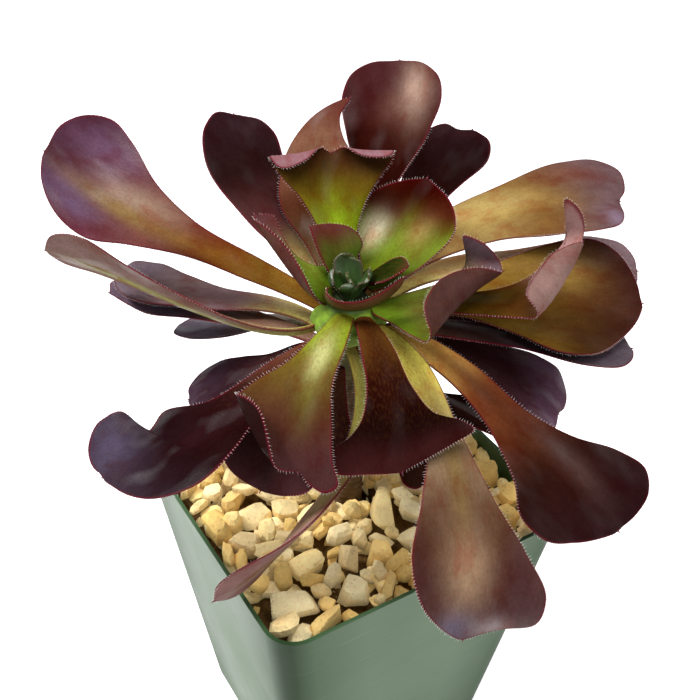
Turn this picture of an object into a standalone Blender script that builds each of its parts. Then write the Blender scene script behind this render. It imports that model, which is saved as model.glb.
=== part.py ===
"""Potted aeonium: a dark-leaved succulent rosette in a square nursery pot topped with crushed stone.

Lengths are metres and +Z is up. The origin is the centre of the pot's underside, on the ground.
The pot's sides run along X and Y. Angles round the stem are degrees from +X, seen from above.
"""

import math

import bmesh
import bpy
import numpy as np

MM = 0.001
GAP = 0.3 * MM
SHARP_ANGLE = math.radians(35.0)

# Pot: a thin square vessel that tapers towards its foot.
POT_SIDE = 89.0 * MM
POT_HEIGHT = 95.0 * MM
POT_TAPER = 0.1295
POT_CORNER = 8.4 * MM
POT_WALL = 1.1 * MM
POT_FLOOR_UNDERSIDE = 2.6 * MM
POT_FLOOR_TOP = 4.0 * MM
BOSS_RADIUS = 8.0 * MM
DRAIN_RADIUS = 4.5 * MM
DRAIN_OFFSET = 21.0 * MM
CORNER_STEPS = 8

# Filling: soil block, then a bed of crushed stone with loose stones lying on it.
SOIL_TOP = 80.0 * MM
BED_TOP = 87.5 * MM
BED_BUMP = 0.9 * MM
BED_RINGS = (0.86, 0.72, 0.58, 0.44, 0.3)
STEM_HOLE = 7.6 * MM

# Stem: a short woody trunk whose root crown sits in the soil.
STEM_RADIUS = 5.0 * MM
STEM_NECK_RADIUS = 4.3 * MM
STEM_FOOT = 58.0 * MM
STEM_SHOULDER = 132.0 * MM
STEM_TOP = 154.0 * MM
STEM_SIDES = 16

# Growing tip: a small closed bud on top of the stem.
BUD_RADIUS = 3.2 * MM
BUD_TOP = 164.0 * MM

LEAF_THICKNESS = 2.0 * MM
CURL_RADIUS = 2.2 * MM
CUP_WIDTH = 10.0
BOW_REACH = 3.5
TIP_WIDTH = 1.0
EDGE_CROWD = 1.3

# Each leaf: where its midrib starts at the stem (azimuth, height), then where it is at one third, at
# two thirds and at the tip (azimuth, reach, height), in degrees and millimetres. What shapes the blade:
#   left, right: points of each edge, as part of the length and distance from the midrib
#   neck: width where the leaf joins the stem   roll: turn about the midrib at the base and at the tip
#   cup: how far the sides rise at 10 mm from the midrib
#   left_curl, right_curl: a lobe's fold from the tip: its slant back, how far it bows in, and its angle
#   start: distance of the base from the stem's axis, grid: rows and columns of the blade's faces
LEAF_DEFAULTS = {
    "neck": 3.6, "roll": (0, 0), "cup": 0.8, "left_curl": (0, 0, 0), "right_curl": (0, 0, 0),
    "start": 5.6, "grid": (13, 5),
}


def plain_edge(half):
    """Edge of a spoon-shaped leaf whose blade reaches half millimetres from the midrib."""
    return ((0.28, 0.3 * half), (0.52, 0.5 * half), (0.7, 0.85 * half), (0.84, half), (0.95, 0.7 * half))


LEAVES = {
    "leaf_heart_front": ((170, 157.2), (-135, 7, 156.4), (-84, 9.5, 158), (-42, 13.5, 162.3), {
        "left": ((0.25, 1.6), (0.7, 1.5)), "right": ((0.12, 4), (0.4, 4), (0.7, 4), (0.9, 2.8)),
        "neck": 4.4, "cup": 3, "roll": (-45, -52), "start": 5.6}),
    "leaf_heart_right": ((-14, 158.2), (-16, 8, 159.6), (-25, 11, 161.8), (-33, 14, 164), {
        "left": ((0.3, 4), (0.7, 4.6)), "right": ((0.3, 5), (0.7, 4)), "neck": 5, "cup": 4, "start": 5.0}),
    "leaf_heart_back": ((85, 157.5), (92, 8, 161), (97, 11, 165), (100, 15, 168), {
        "left": ((0.3, 3), (0.7, 2.5)), "right": ((0.15, 6), (0.35, 9), (0.6, 8.5), (0.85, 5)),
        "neck": 5.5, "cup": 4}),
    "leaf_inner_back": ((68, 153.5), (67, 14, 160), (69, 24, 168), (67, 36, 176), {
        "left": ((0.2, 3.5), (0.5, 5), (0.73, 9), (0.84, 13), (0.94, 16), (1.07, 14.5), (1.08, 8)),
        "right": ((0.2, 3.5), (0.46, 5), (0.68, 9), (0.84, 13), (0.98, 16), (1.13, 14.5), (1.13, 8)),
        "left_curl": (7, 4, 150), "right_curl": (-5, 4, 150), "cup": 0.4, "grid": (17, 9)}),
    "leaf_inner_back_right": ((10, 155.5), (20, 15, 158), (27, 29, 162), (29, 41, 169), {
        "left": ((0.15, 4), (0.3, 7), (0.5, 11), (0.68, 12.5), (0.85, 10), (0.94, 6)),
        "right": ((0.1, 5), (0.22, 8), (0.42, 12), (0.58, 14), (0.74, 12), (0.88, 8), (0.95, 4)),
        "neck": 5, "cup": 2}),
    "leaf_inner_left": ((125, 154.5), (134, 10, 158), (123, 18, 163), (114, 29, 168), {
        "left": ((0.15, 4.5), (0.4, 6.5), (0.65, 6.5), (0.88, 4)),
        "right": ((0.15, 5), (0.3, 6.5), (0.45, 3.5), (0.6, 1.6), (0.8, 2.6), (0.95, 4)),
        "neck": 6, "cup": 1.2, "left_curl": (84, 0, 110), "grid": (15, 9)}),
    "leaf_inner_right": ((-50, 152.3), (-25, 14, 152.5), (-19, 26, 154), (-20, 39, 158), {
        "left": ((0.3, 3), (0.55, 3.5), (0.76, 4.5), (0.86, 8), (0.96, 13), (1.03, 9)),
        "right": ((0.1, 7), (0.18, 14), (0.28, 20.5), (0.45, 22), (0.65, 18.5), (0.85, 11.5), (0.96, 5)),
        "neck": 4.5, "cup": 0.3, "left_curl": (50, 0, 80), "right_curl": (50, 4, 140),
        "grid": (17, 11)}),
    "leaf_inner_front_left": ((-132, 152.5), (-137, 21, 152), (-137, 36, 147), (-135, 46, 138), {
        "left": ((0.25, 4), (0.5, 4.5), (0.75, 7), (0.95, 8), (1.1, 8.5), (1.13, 6), (1.08, 2.5)),
        "right": ((0.2, 4), (0.42, 7.5), (0.58, 13.5), (0.72, 17), (0.86, 16), (0.97, 9)),
        "neck": 5, "cup": 0.4, "right_curl": (50, 0, 150), "grid": (17, 9)}),
    "leaf_inner_front": ((-88, 151.5), (-101, 22, 150), (-104, 34, 143), (-104, 42, 134), {
        "left": ((0.25, 4), (0.5, 6), (0.66, 10), (0.73, 16), (0.8, 18.5), (0.88, 13.5), (0.95, 7)),
        "right": ((0.25, 4), (0.5, 5), (0.66, 7.5), (0.77, 13), (0.82, 18.5), (0.89, 16), (0.95, 8)),
        "neck": 4.4, "cup": 0.4, "grid": (15, 7)}),
    "leaf_middle_right": ((-16, 150), (-16, 21, 149), (-19, 42, 150), (-11, 65, 158), {
        "left": ((0.3, 3.5), (0.56, 4), (0.8, 4), (0.93, 4.5), (1.05, 5.5), (1.17, 7), (1.14, 4),
                 (1.06, 1.2)),
        "right": ((0.3, 3.5), (0.46, 4.5), (0.57, 7), (0.66, 11.5), (0.71, 16), (0.76, 17), (0.84, 14),
                  (0.92, 9), (0.98, 4.5)),
        "neck": 4.4, "cup": 0.8, "left_curl": (25, 0, 80), "right_curl": (43, 7, 140), "grid": (17, 11)}),
    "leaf_middle_back": ((95, 150.5), (71, 32, 158), (70, 47, 170), (59, 57, 182), {
        "left": ((0.25, 6), (0.47, 11), (0.62, 10), (0.8, 6), (0.93, 2.5)),
        "right": ((0.3, 7), (0.55, 11), (0.7, 10), (0.82, 6), (0.92, 2)), "roll": (-20, -20)}),
    "leaf_upper_left": ((135, 150.5), (122, 30, 154), (124, 58, 161), (118, 98, 168), {
        "left": ((0.3, 2.5), (0.55, 4), (0.68, 8), (0.78, 12), (0.88, 11), (0.96, 6)),
        "right": ((0.3, 4), (0.55, 6), (0.7, 10), (0.82, 16), (0.9, 18), (0.97, 15), (1.01, 8)),
        "roll": (-40, -40), "cup": 0.5}),
    "leaf_upper_back": ((50, 149.5), (49, 30, 158), (47, 54, 171), (49, 84, 183), {
        "left": ((0.3, 4), (0.5, 6.5), (0.66, 12), (0.82, 15.5), (0.92, 13.5), (0.985, 8)),
        "right": ((0.3, 3.5), (0.53, 5), (0.7, 10), (0.84, 12.5), (0.94, 10.5), (0.99, 6)), "cup": 1}),
    "leaf_upper_right": ((26, 147), (21, 39, 152), (10, 67, 156), (2, 92, 155), {
        "left": ((0.2, 4), (0.45, 8.5), (0.65, 11), (0.84, 15.5), (0.97, 17), (1.06, 13.5), (1.05, 6)),
        "right": ((0.3, 5), (0.5, 9), (0.7, 13), (0.85, 15), (0.94, 12), (0.99, 6)), "roll": (12, 12)}),
    "leaf_front_long": ((-62, 149), (-79, 30, 140), (-92, 54, 125), (-97.5, 67, 102), {
        "left": ((0.2, 3.5), (0.45, 4), (0.6, 7.5), (0.75, 14), (0.88, 18.5), (0.97, 16.5), (0.98, 9)),
        "right": ((0.2, 3.5), (0.45, 5), (0.6, 9.5), (0.75, 13.5), (0.86, 11.5), (0.95, 5.5)), "cup": 1}),
    "leaf_front_right": ((-54, 145.6), (-41, 26, 137.5), (-54, 52, 124), (-57, 75, 108), {
        "left": ((0.2, 3.5), (0.4, 4.5), (0.58, 5), (0.7, 8.5), (0.82, 14.5), (0.93, 16.5),
                 (1.01, 12.5), (1.02, 6)),
        "right": ((0.2, 3.5), (0.4, 4.5), (0.58, 8), (0.68, 12), (0.76, 18), (0.83, 17.5),
                  (0.9, 11.5), (0.96, 5)),
        "roll": (10, 25), "start": 6.6}),
    "leaf_left_edge_on": ((152, 147.5), (150, 26, 146), (136, 54, 149), (132, 84, 152), {
        "left": plain_edge(11), "right": plain_edge(11), "cup": 1.6, "roll": (42, 60)}),
    "leaf_right_round": ((-12, 147), (-4, 30, 145), (-11, 57, 141), (-13, 86, 136), {
        "left": ((0.2, 4), (0.43, 8.5), (0.58, 14), (0.74, 18.5), (0.88, 19), (0.98, 14), (1.01, 7)),
        "right": ((0.2, 4), (0.36, 6.5), (0.5, 12), (0.64, 20), (0.74, 19), (0.87, 12), (0.96, 5)),
        "cup": 1, "roll": (10, 24)}),
    "leaf_back_left": ((100, 147), (81, 31, 152), (85, 56, 160), (83, 84, 168), {
        "left": ((0.2, 4), (0.35, 8), (0.55, 12), (0.8, 12.5), (0.94, 9), (1.01, 4)),
        "right": ((0.3, 4), (0.6, 6), (0.75, 9.5), (0.88, 10), (0.96, 7)), "cup": 1}),
    "leaf_lower_left": ((-170, 146), (-165, 27, 142), (-171, 49, 134), (180, 67, 126), {
        "left": ((0.2, 3.5), (0.42, 4.5), (0.55, 8.5), (0.7, 12), (0.8, 10.5), (0.9, 6), (0.96, 2.5)),
        "right": ((0.3, 5.5), (0.52, 6.5), (0.7, 11), (0.78, 8.5), (0.83, 9), (0.83, 12), (0.87, 15),
                  (0.96, 15.5), (1.05, 13.5), (1.08, 8), (1.05, 3)),
        "roll": (-10, -10), "grid": (17, 5)}),
    "leaf_right_behind": ((24, 143.5), (20, 37, 144), (7, 67, 140), (-3, 96, 135), {
        "left": ((0.3, 4), (0.6, 6.5), (0.75, 10), (0.9, 16), (0.98, 15), (1.01, 8)),
        "right": ((0.3, 4), (0.6, 6), (0.78, 12), (0.9, 13), (0.97, 8))}),
    "leaf_back_right": ((58, 145), (40, 31, 148), (36, 59, 154), (35, 94, 160), {
        "left": ((0.3, 3.5), (0.6, 7), (0.8, 12.5), (0.93, 13), (1.0, 8.5), (0.99, 4)),
        "right": ((0.3, 3.5), (0.6, 4.5), (0.75, 7.5), (0.88, 10), (0.96, 7))}),
    "leaf_front_drooping": ((-118, 144), (-115, 23, 128), (-137, 40, 113), (-153, 59, 101), {
        "left": plain_edge(10), "right": plain_edge(10), "roll": (0, 80)}),
    "leaf_left_behind": ((118, 141.5), (110, 27, 141), (118, 51, 138), (119, 76, 136), {
        "left": ((0.3, 4), (0.6, 8), (0.8, 9), (0.93, 5)),
        "right": ((0.3, 3), (0.55, 4.5), (0.72, 7.5), (0.9, 10.5), (1.01, 8))}),
    "leaf_right_under": ((-14, 143), (-17, 27, 140.5), (-21, 53, 135), (-20, 79, 129), {
        "left": ((0.3, 3.5), (0.6, 7), (0.8, 11), (0.93, 11), (1.01, 6)),
        "right": ((0.3, 3.5), (0.6, 6), (0.78, 9), (0.88, 9.5), (0.96, 5))}),
    "leaf_right_short": ((11, 140.6), (0, 19, 138.5), (-2, 35, 134), (-8, 50, 130), {
        "left": ((0.3, 3.5), (0.6, 6.5), (0.8, 7), (0.93, 4.5)),
        "right": ((0.3, 3.5), (0.6, 5.5), (0.8, 6.5), (0.92, 4.5))}),
    "leaf_left_under": ((142, 139.5), (118, 28, 137), (119, 52, 133), (121, 77, 131), {
        "left": ((0.3, 3), (0.65, 5.5), (0.78, 5.5), (0.9, 3)),
        "right": ((0.3, 3.5), (0.6, 7), (0.8, 10), (0.95, 9), (1.03, 4.5))}),
    "leaf_right_low": ((-12, 138), (-10, 22, 133.5), (-20, 42, 124), (-24, 59, 112), {
        "left": ((0.2, 3.5), (0.42, 6.5), (0.63, 11), (0.85, 15.5), (1.0, 15), (1.07, 10), (1.05, 4)),
        "right": ((0.3, 4), (0.6, 9), (0.8, 12.5), (0.92, 10), (0.98, 4.5)), "roll": (12, 12)}),
    "leaf_front_hidden": ((-138, 138.5), (-140, 10, 130), (-139, 14, 121), (-138, 19, 113), {
        "left": plain_edge(10), "right": plain_edge(10), "neck": 3, "start": 7.4}),
    "leaf_left_low": ((135, 137.5), (119, 18, 130), (124, 33, 118), (126, 49, 106), {
        "left": ((0.3, 5), (0.55, 11), (0.75, 12), (0.9, 7)),
        "right": ((0.3, 3), (0.5, 4), (0.65, 7), (0.84, 10), (0.98, 8.5), (1.03, 4)),
        "roll": (-20, -20)}),
    "leaf_front_left_low": ((-165, 141.5), (-154, 16, 138), (-151, 30, 131), (-152, 40, 122), {
        "left": ((0.3, 4), (0.55, 9), (0.72, 12.5), (0.84, 12), (0.94, 6.5)),
        "right": ((0.3, 4), (0.58, 8), (0.75, 11), (0.9, 12.5), (0.99, 9), (1.01, 4))}),
    "leaf_front_right_low": ((-44, 134), (-33, 17, 126), (-30, 34, 117), (-26, 50, 106), {
        "left": plain_edge(9), "right": plain_edge(9), "start": 7.0}),
    "leaf_front_low": ((-85, 138.5), (-73, 13, 130), (-68, 21, 121), (-69, 28, 110), {
        "left": plain_edge(12), "right": plain_edge(13), "start": 7.4}),
    "leaf_back_left_low": ((98, 139.5), (96, 22, 135), (107, 40, 127), (111, 62, 119), {
        "left": plain_edge(9), "right": plain_edge(9)}),
}

# Loose stones: centre x, y, then length, width, height, all millimetres, and turn in degrees.
STONES = {
    "stone_front_slab": (-33.4, -30.6, 13.5, 10, 7.5, -20),
    "stone_front_shard": (-28.5, -38.4, 11.5, 3.6, 6.5, 12),
    "stone_front_pyramid": (-17.6, -34.2, 9.5, 7.5, 7, -30),
    "stone_front_wedge": (-35, -22, 6, 5, 4, -30),
    "stone_front_chip": (-24, -29, 6.5, 4.5, 4, -30),
    "stone_front_broad": (-23, -19.5, 11, 8, 6, 10),
    "stone_front_grey": (-13, -24, 9.5, 6, 7, 60),
    "stone_front_golden": (-4.6, -26.6, 8.5, 8, 6.5, -30),
    "stone_front_corner": (-8.8, -34.6, 6.5, 5.5, 5, 0),
    "stone_front_rim": (-12.5, -39.6, 7, 4, 4, 0),
    "stone_middle_tall": (3.6, -14.6, 14, 7.8, 8, 60),
    "stone_middle_round": (5, -26, 8, 6, 6, 0),
    "stone_middle_small": (12, -18.5, 6, 5, 4, -20),
    "stone_left_grey": (-34, -6, 9, 7, 6.5, -50),
    "stone_left_beige": (-27, 2.5, 10.5, 7.5, 6, 10),
    "stone_left_pale": (-27, 12.5, 7.5, 6, 5, 20),
    "stone_left_rim": (-38.5, 5, 5, 5, 4.5, 0),
    "stone_left_back": (-37, 17.5, 7, 6, 5, 30),
    "stone_right_smooth": (37.5, -4, 8, 7, 9, 80),
    "stone_right_golden": (37, -16, 10, 7, 8, 80),
}


def clear_scene():
    """Remove every object that is in the file."""
    for thing in list(bpy.data.objects):
        bpy.data.objects.remove(thing, do_unlink=True)


def make_material(name, colour, roughness, metallic=0.0):
    """A plain surface with a colour, a roughness and a metallic value."""
    material = bpy.data.materials.new(name)
    material.use_nodes = True
    shader = material.node_tree.nodes["Principled BSDF"]
    shader.inputs["Base Color"].default_value = (*colour, 1.0)
    shader.inputs["Roughness"].default_value = roughness
    shader.inputs["Metallic"].default_value = metallic
    return material


def add_object(name, points, faces, material):
    """A named object from points and faces, with outward faces."""
    mesh = bpy.data.meshes.new(name)
    mesh.from_pydata([tuple(map(float, point)) for point in points], [], faces)
    shape = bmesh.new()
    shape.from_mesh(mesh)
    bmesh.ops.recalc_face_normals(shape, faces=shape.faces)
    shape.to_mesh(mesh)
    shape.free()
    mesh.shade_smooth()
    mesh.set_sharp_from_angle(angle=SHARP_ANGLE)
    mesh.materials.append(material)
    thing = bpy.data.objects.new(name, mesh)
    bpy.context.scene.collection.objects.link(thing)
    return thing


def ease(low, high, value):
    """Smooth step from 0 at low to 1 at high."""
    part = np.clip((value - low) / (high - low), 0.0, 1.0)
    return part * part * (3.0 - 2.0 * part)


def loft(rings):
    """Points and quads of a stack of equal rings, closed by a face at each end."""
    count = len(rings[0])
    points = [point for ring in rings for point in ring]
    faces = [tuple(reversed(range(count)))]
    for level in range(len(rings) - 1):
        start = level * count
        for side in range(count):
            after = (side + 1) % count
            faces.append((start + side, start + after, start + count + after, start + count + side))
    faces.append(tuple(range(len(points) - count, len(points))))
    return points, faces


def circle(radius, height, sides, centre=(0.0, 0.0)):
    """A level ring of points."""
    angles = np.linspace(0.0, 2.0 * math.pi, sides, endpoint=False)
    return [(centre[0] + radius * math.cos(a), centre[1] + radius * math.sin(a), height) for a in angles]


def pot_half_side(height):
    """Half the pot's outer side at a height."""
    return POT_SIDE / 2.0 - POT_TAPER * (POT_HEIGHT - height)


def rounded_square(height, inset):
    """A level ring that follows the pot's outer face, moved inwards by inset."""
    half = pot_half_side(height) - inset
    radius = max(POT_CORNER - inset, 2.0 * MM)
    ring = []
    for corner in range(4):
        middle = math.radians(45.0 + 90.0 * corner)
        centre_x = math.copysign(half - radius, math.cos(middle))
        centre_y = math.copysign(half - radius, math.sin(middle))
        for step in range(CORNER_STEPS + 1):
            angle = middle - math.pi / 4.0 + math.pi / 2.0 * step / CORNER_STEPS
            ring.append((centre_x + radius * math.cos(angle), centre_y + radius * math.sin(angle), height))
    return ring


def combine(target, tool, operation="DIFFERENCE"):
    """Apply a hidden tool's shape to a target: DIFFERENCE takes it away, UNION adds it."""
    change = target.modifiers.new(tool.name, "BOOLEAN")
    change.operation = operation
    change.solver = "EXACT"
    change.object = tool
    tool.hide_render = True
    tool.display_type = "WIRE"


def make_pot(material):
    """Thin tapered wall on a raised floor, with a centre boss to stand on and four drain holes."""
    rings = [
        rounded_square(POT_FLOOR_UNDERSIDE, POT_WALL),
        rounded_square(0.0, POT_WALL),
        rounded_square(0.0, 0.0),
        rounded_square(POT_HEIGHT, 0.0),
        rounded_square(POT_HEIGHT, POT_WALL),
        rounded_square(POT_FLOOR_TOP, POT_WALL),
    ]
    pot = add_object("pot", *loft(rings), material)
    boss = add_object("boss_tool", *loft([
        circle(BOSS_RADIUS, 0.0, 24),
        circle(BOSS_RADIUS, POT_FLOOR_UNDERSIDE + 0.7 * MM, 24),
    ]), material)
    combine(pot, boss, "UNION")
    for side_x in (-1, 1):
        for side_y in (-1, 1):
            centre = (side_x * DRAIN_OFFSET, side_y * DRAIN_OFFSET)
            drill = add_object("drain_tool", *loft([
                circle(DRAIN_RADIUS, -1.0 * MM, 20, centre),
                circle(DRAIN_RADIUS, POT_FLOOR_TOP + 1.0 * MM, 20, centre),
            ]), material)
            combine(pot, drill)
    return pot


def stem_radius(height):
    """The stem's radius at a height: a root crown, a straight trunk and a slim leafy top."""
    trunk = STEM_RADIUS + (STEM_NECK_RADIUS - STEM_RADIUS) * ease(STEM_SHOULDER, STEM_TOP, height)
    crown = 2.6 * MM * (1.0 - ease(STEM_FOOT + 4.0 * MM, 78.0 * MM, height))
    foot = 3.5 * MM * (1.0 - ease(STEM_FOOT, STEM_FOOT + 8.0 * MM, height))
    return float(trunk + crown - foot)


def make_stem(material):
    """A turned trunk."""
    heights = [58, 60, 63, 67, 72, 78, 90, 110, 132, 139, 146, 152, 154]
    rings = [circle(stem_radius(h * MM), h * MM, STEM_SIDES) for h in heights]
    return add_object("stem", *loft(rings), material)


def make_bud(material):
    """A closed teardrop on top of the stem."""
    rings = []
    for step in range(9):
        part = step / 8.0
        height = STEM_TOP + GAP + (BUD_TOP - STEM_TOP - GAP) * part
        radius = BUD_RADIUS * (0.75 + 0.5 * part) * math.sqrt(max(1.0 - part ** 2.2, 0.004))
        rings.append(circle(radius, height, 16))
    return add_object("heart_bud", *loft(rings), material)


def make_soil(material):
    """A block that fills the pot, with a socket for the root crown."""
    rings = [
        rounded_square(POT_FLOOR_TOP + GAP, POT_WALL + GAP),
        rounded_square(SOIL_TOP, POT_WALL + GAP),
    ]
    soil = add_object("soil", *loft(rings), material)
    heights = [57.6, 60, 63, 67, 72, 78, 82]
    socket = add_object("socket_tool", *loft([
        circle(stem_radius(h * MM) + GAP * 1.3, h * MM, STEM_SIDES) for h in heights
    ]), material)
    combine(soil, socket)
    return soil


def bed_height(x, y):
    """Height of the stone bed's bumpy top."""
    wave = np.sin(x / (2.9 * MM) + 1.3 * np.sin(y / (4.1 * MM)))
    wave = wave * np.cos(y / (3.3 * MM) + 0.9 * np.sin(x / (5.2 * MM)))
    return BED_TOP + BED_BUMP * (wave - 1.0)


def make_bed(material):
    """A slab of packed small stones with a bumpy top and a hole for the stem."""
    bottom = SOIL_TOP + GAP
    inset = POT_WALL + GAP
    outer_low = rounded_square(bottom, inset)
    outer_high = rounded_square(BED_TOP - BED_BUMP, inset)
    count = len(outer_low)
    shape = bmesh.new()
    low = [shape.verts.new(point) for point in outer_low]
    high = [shape.verts.new(point) for point in outer_high]
    for side in range(count):
        after = (side + 1) % count
        shape.faces.new((low[side], low[after], high[after], high[side]))
    shape.faces.new(list(reversed(low)))
    rings = [high]
    for part in BED_RINGS:
        ring = []
        for x, y, _ in outer_high:
            flat_x, flat_y = x * part, y * part
            ring.append(shape.verts.new((flat_x, flat_y, float(bed_height(flat_x, flat_y)))))
        rings.append(ring)
    for outer, inner in zip(rings, rings[1:]):
        for side in range(count):
            after = (side + 1) % count
            shape.faces.new((outer[side], outer[after], inner[after], inner[side]))
    shape.faces.new(rings[-1])
    bmesh.ops.triangulate(shape, faces=[face for face in shape.faces if len(face.verts) == 4])
    mesh = bpy.data.meshes.new("gravel_bed")
    shape.to_mesh(mesh)
    shape.free()
    mesh.shade_smooth()
    mesh.set_sharp_from_angle(angle=SHARP_ANGLE)
    mesh.materials.append(material)
    bed = bpy.data.objects.new("gravel_bed", mesh)
    bpy.context.scene.collection.objects.link(bed)
    hole = add_object("stem_hole_tool", *loft([
        circle(STEM_HOLE, SOIL_TOP - 2.0 * MM, STEM_SIDES),
        circle(STEM_HOLE, BED_TOP + 4.0 * MM, STEM_SIDES),
    ]), material)
    combine(bed, hole)
    return bed


def make_stone(name, row, material, seed):
    """An angular pebble: an eight-sided block with uneven corners, lying on the bed."""
    x, y, length, width, height, turn = row
    chance = np.random.default_rng(seed)
    sides = 8
    angles = np.linspace(0.0, 2.0 * math.pi, sides, endpoint=False) + chance.uniform(-0.25, 0.25, sides)
    levels = ((0.0, 0.62), (0.3, 1.0), (0.72, 0.92), (1.0, 0.55))
    turn = math.radians(turn)
    rings = []
    for part, spread in levels:
        reach = spread * chance.uniform(0.9, 1.06, sides)
        along = length * MM / 2.0 * np.cos(angles) * reach
        across = width * MM / 2.0 * np.sin(angles) * reach
        ring = [(
            x * MM + math.cos(turn) * a - math.sin(turn) * b,
            y * MM + math.sin(turn) * a + math.cos(turn) * b,
            BED_TOP + GAP + height * MM * part,
        ) for a, b in zip(along, across)]
        rings.append(ring)
    return add_object(name, *loft(rings), material)


def leaf_marks(leaf):
    """The midrib's points at the stem, at one third, at two thirds and at the tip."""
    azimuth, height = leaf[0]
    marks = [(azimuth, leaf[4]["start"], height), leaf[1], leaf[2], leaf[3]]
    return [np.array([math.cos(math.radians(a)) * r, math.sin(math.radians(a)) * r, z]) for a, r, z in marks]


def leaf_length(leaf):
    """Length of the midrib, from mark to mark."""
    marks = leaf_marks(leaf)
    return float(sum(np.linalg.norm(after - before) for before, after in zip(marks, marks[1:])))


def midrib(leaf, station):
    """Place, direction, side and upward vectors of a leaf's midrib at stations 0 (stem) to 1 (tip).

    The midrib is the cubic curve through the leaf's four marks. Past the tip it runs on straight.
    """
    base, first, second, tip = leaf_marks(leaf)
    toward_first = (-5.0 * base + 18.0 * first - 9.0 * second + 2.0 * tip) / 6.0
    toward_second = (2.0 * base - 9.0 * first + 18.0 * second - 5.0 * tip) / 6.0
    chord = tip - base
    side = np.array([-chord[1], chord[0], 0.0]) / math.hypot(chord[0], chord[1])
    t = np.minimum(station, 1.0)[..., None]
    rest = 1.0 - t
    place = rest ** 3 * base + 3 * rest ** 2 * t * toward_first
    place = place + 3 * rest * t ** 2 * toward_second + t ** 3 * tip
    along = rest ** 2 * (toward_first - base) + 2 * rest * t * (toward_second - toward_first)
    along = along + t ** 2 * (tip - toward_second)
    place = place + 3.0 * (tip - toward_second) * np.maximum(station - 1.0, 0.0)[..., None]
    along = along / np.linalg.norm(along, axis=-1, keepdims=True)
    across = side - along * (along @ side)[..., None]
    across = across / np.linalg.norm(across, axis=-1, keepdims=True)
    above = np.cross(along, across)
    base_roll, tip_roll = leaf[4]["roll"]
    roll = np.radians(base_roll + (tip_roll - base_roll) * ease(0.0, 1.0, station))[..., None]
    turned_across = across * np.cos(roll) + above * np.sin(roll)
    turned_above = above * np.cos(roll) - across * np.sin(roll)
    return place, along, turned_across, turned_above


def smooth_curve(points, count):
    """A smooth curve through points: count places, evenly spaced along the straight runs between them."""
    points = np.array(points, float)
    runs = np.concatenate([[0.0], np.cumsum(np.linalg.norm(np.diff(points, axis=0), axis=1))])
    slopes = np.gradient(points, runs, axis=0)
    wanted = np.linspace(0.0, runs[-1], count)
    before = np.clip(np.searchsorted(runs, wanted, side="right") - 1, 0, len(runs) - 2)
    span = (runs[before + 1] - runs[before])[:, None]
    x = (wanted[:, None] - runs[before][:, None]) / span
    return (
        (1 + 2 * x) * (1 - x) ** 2 * points[before]
        + x * (1 - x) ** 2 * span * slopes[before]
        + x ** 2 * (3 - 2 * x) * points[before + 1]
        + x ** 2 * (x - 1) * span * slopes[before + 1]
    )


def leaf_edge(leaf, side, rows):
    """One edge from the stem to the tip: distance forward along the midrib and distance from it."""
    shape, length = leaf[4], leaf_length(leaf)
    marks = [(0.0, shape["neck"] / 2.0)]
    marks += [(station * length, away) for station, away in shape[side]]
    marks += [(length, TIP_WIDTH / 2.0)]
    return smooth_curve(marks, rows)


def leaf_sheet(leaf, rows, columns):
    """Middle sheet of a leaf: points, upward normals and thickness, from the right edge to the left one.

    A row runs from the midrib to both edges. Rows spread evenly along each edge and meet at the tip.
    """
    length, cup = leaf_length(leaf), leaf[4]["cup"] / CUP_WIDTH ** 2
    row = np.linspace(0.0, 1.0, rows)[:, None]
    v = (np.sin(np.linspace(-1.0, 1.0, columns) * EDGE_CROWD) / math.sin(EDGE_CROWD))[None, :]
    left, right = leaf_edge(leaf, "left", rows), leaf_edge(leaf, "right", rows)
    edge = np.where(v[..., None] > 0.0, left[:, None, :], right[:, None, :])
    middle = row * (1.15 - 0.15 * row) * length
    forward = middle + (edge[..., 0] - middle) * np.abs(v) ** 1.3
    aside = edge[..., 1] * v
    height, slope = cup * aside ** 2, np.arctan(2.0 * cup * aside)
    forward, aside, lift, turn, facing_forward, facing_aside = curl_lobes(leaf, length, forward, aside)
    place, along, across, above = midrib(leaf, forward / length)
    points = place + across * aside[..., None] + above * (height + lift)[..., None]
    facing = along * facing_forward[..., None] + across * facing_aside[..., None]
    turned = above * np.cos(turn)[..., None] - facing * np.sin(turn)[..., None]
    normal = turned * np.cos(slope)[..., None] - across * np.sin(slope)[..., None]
    normal = normal / np.linalg.norm(normal, axis=-1, keepdims=True)
    thickness = (1.0 - 0.6 * v ** 2) * (1.0 - 0.45 * row) * (1.0 - 0.5 * ease(0.9, 1.0, row))
    return points, normal, thickness


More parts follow.
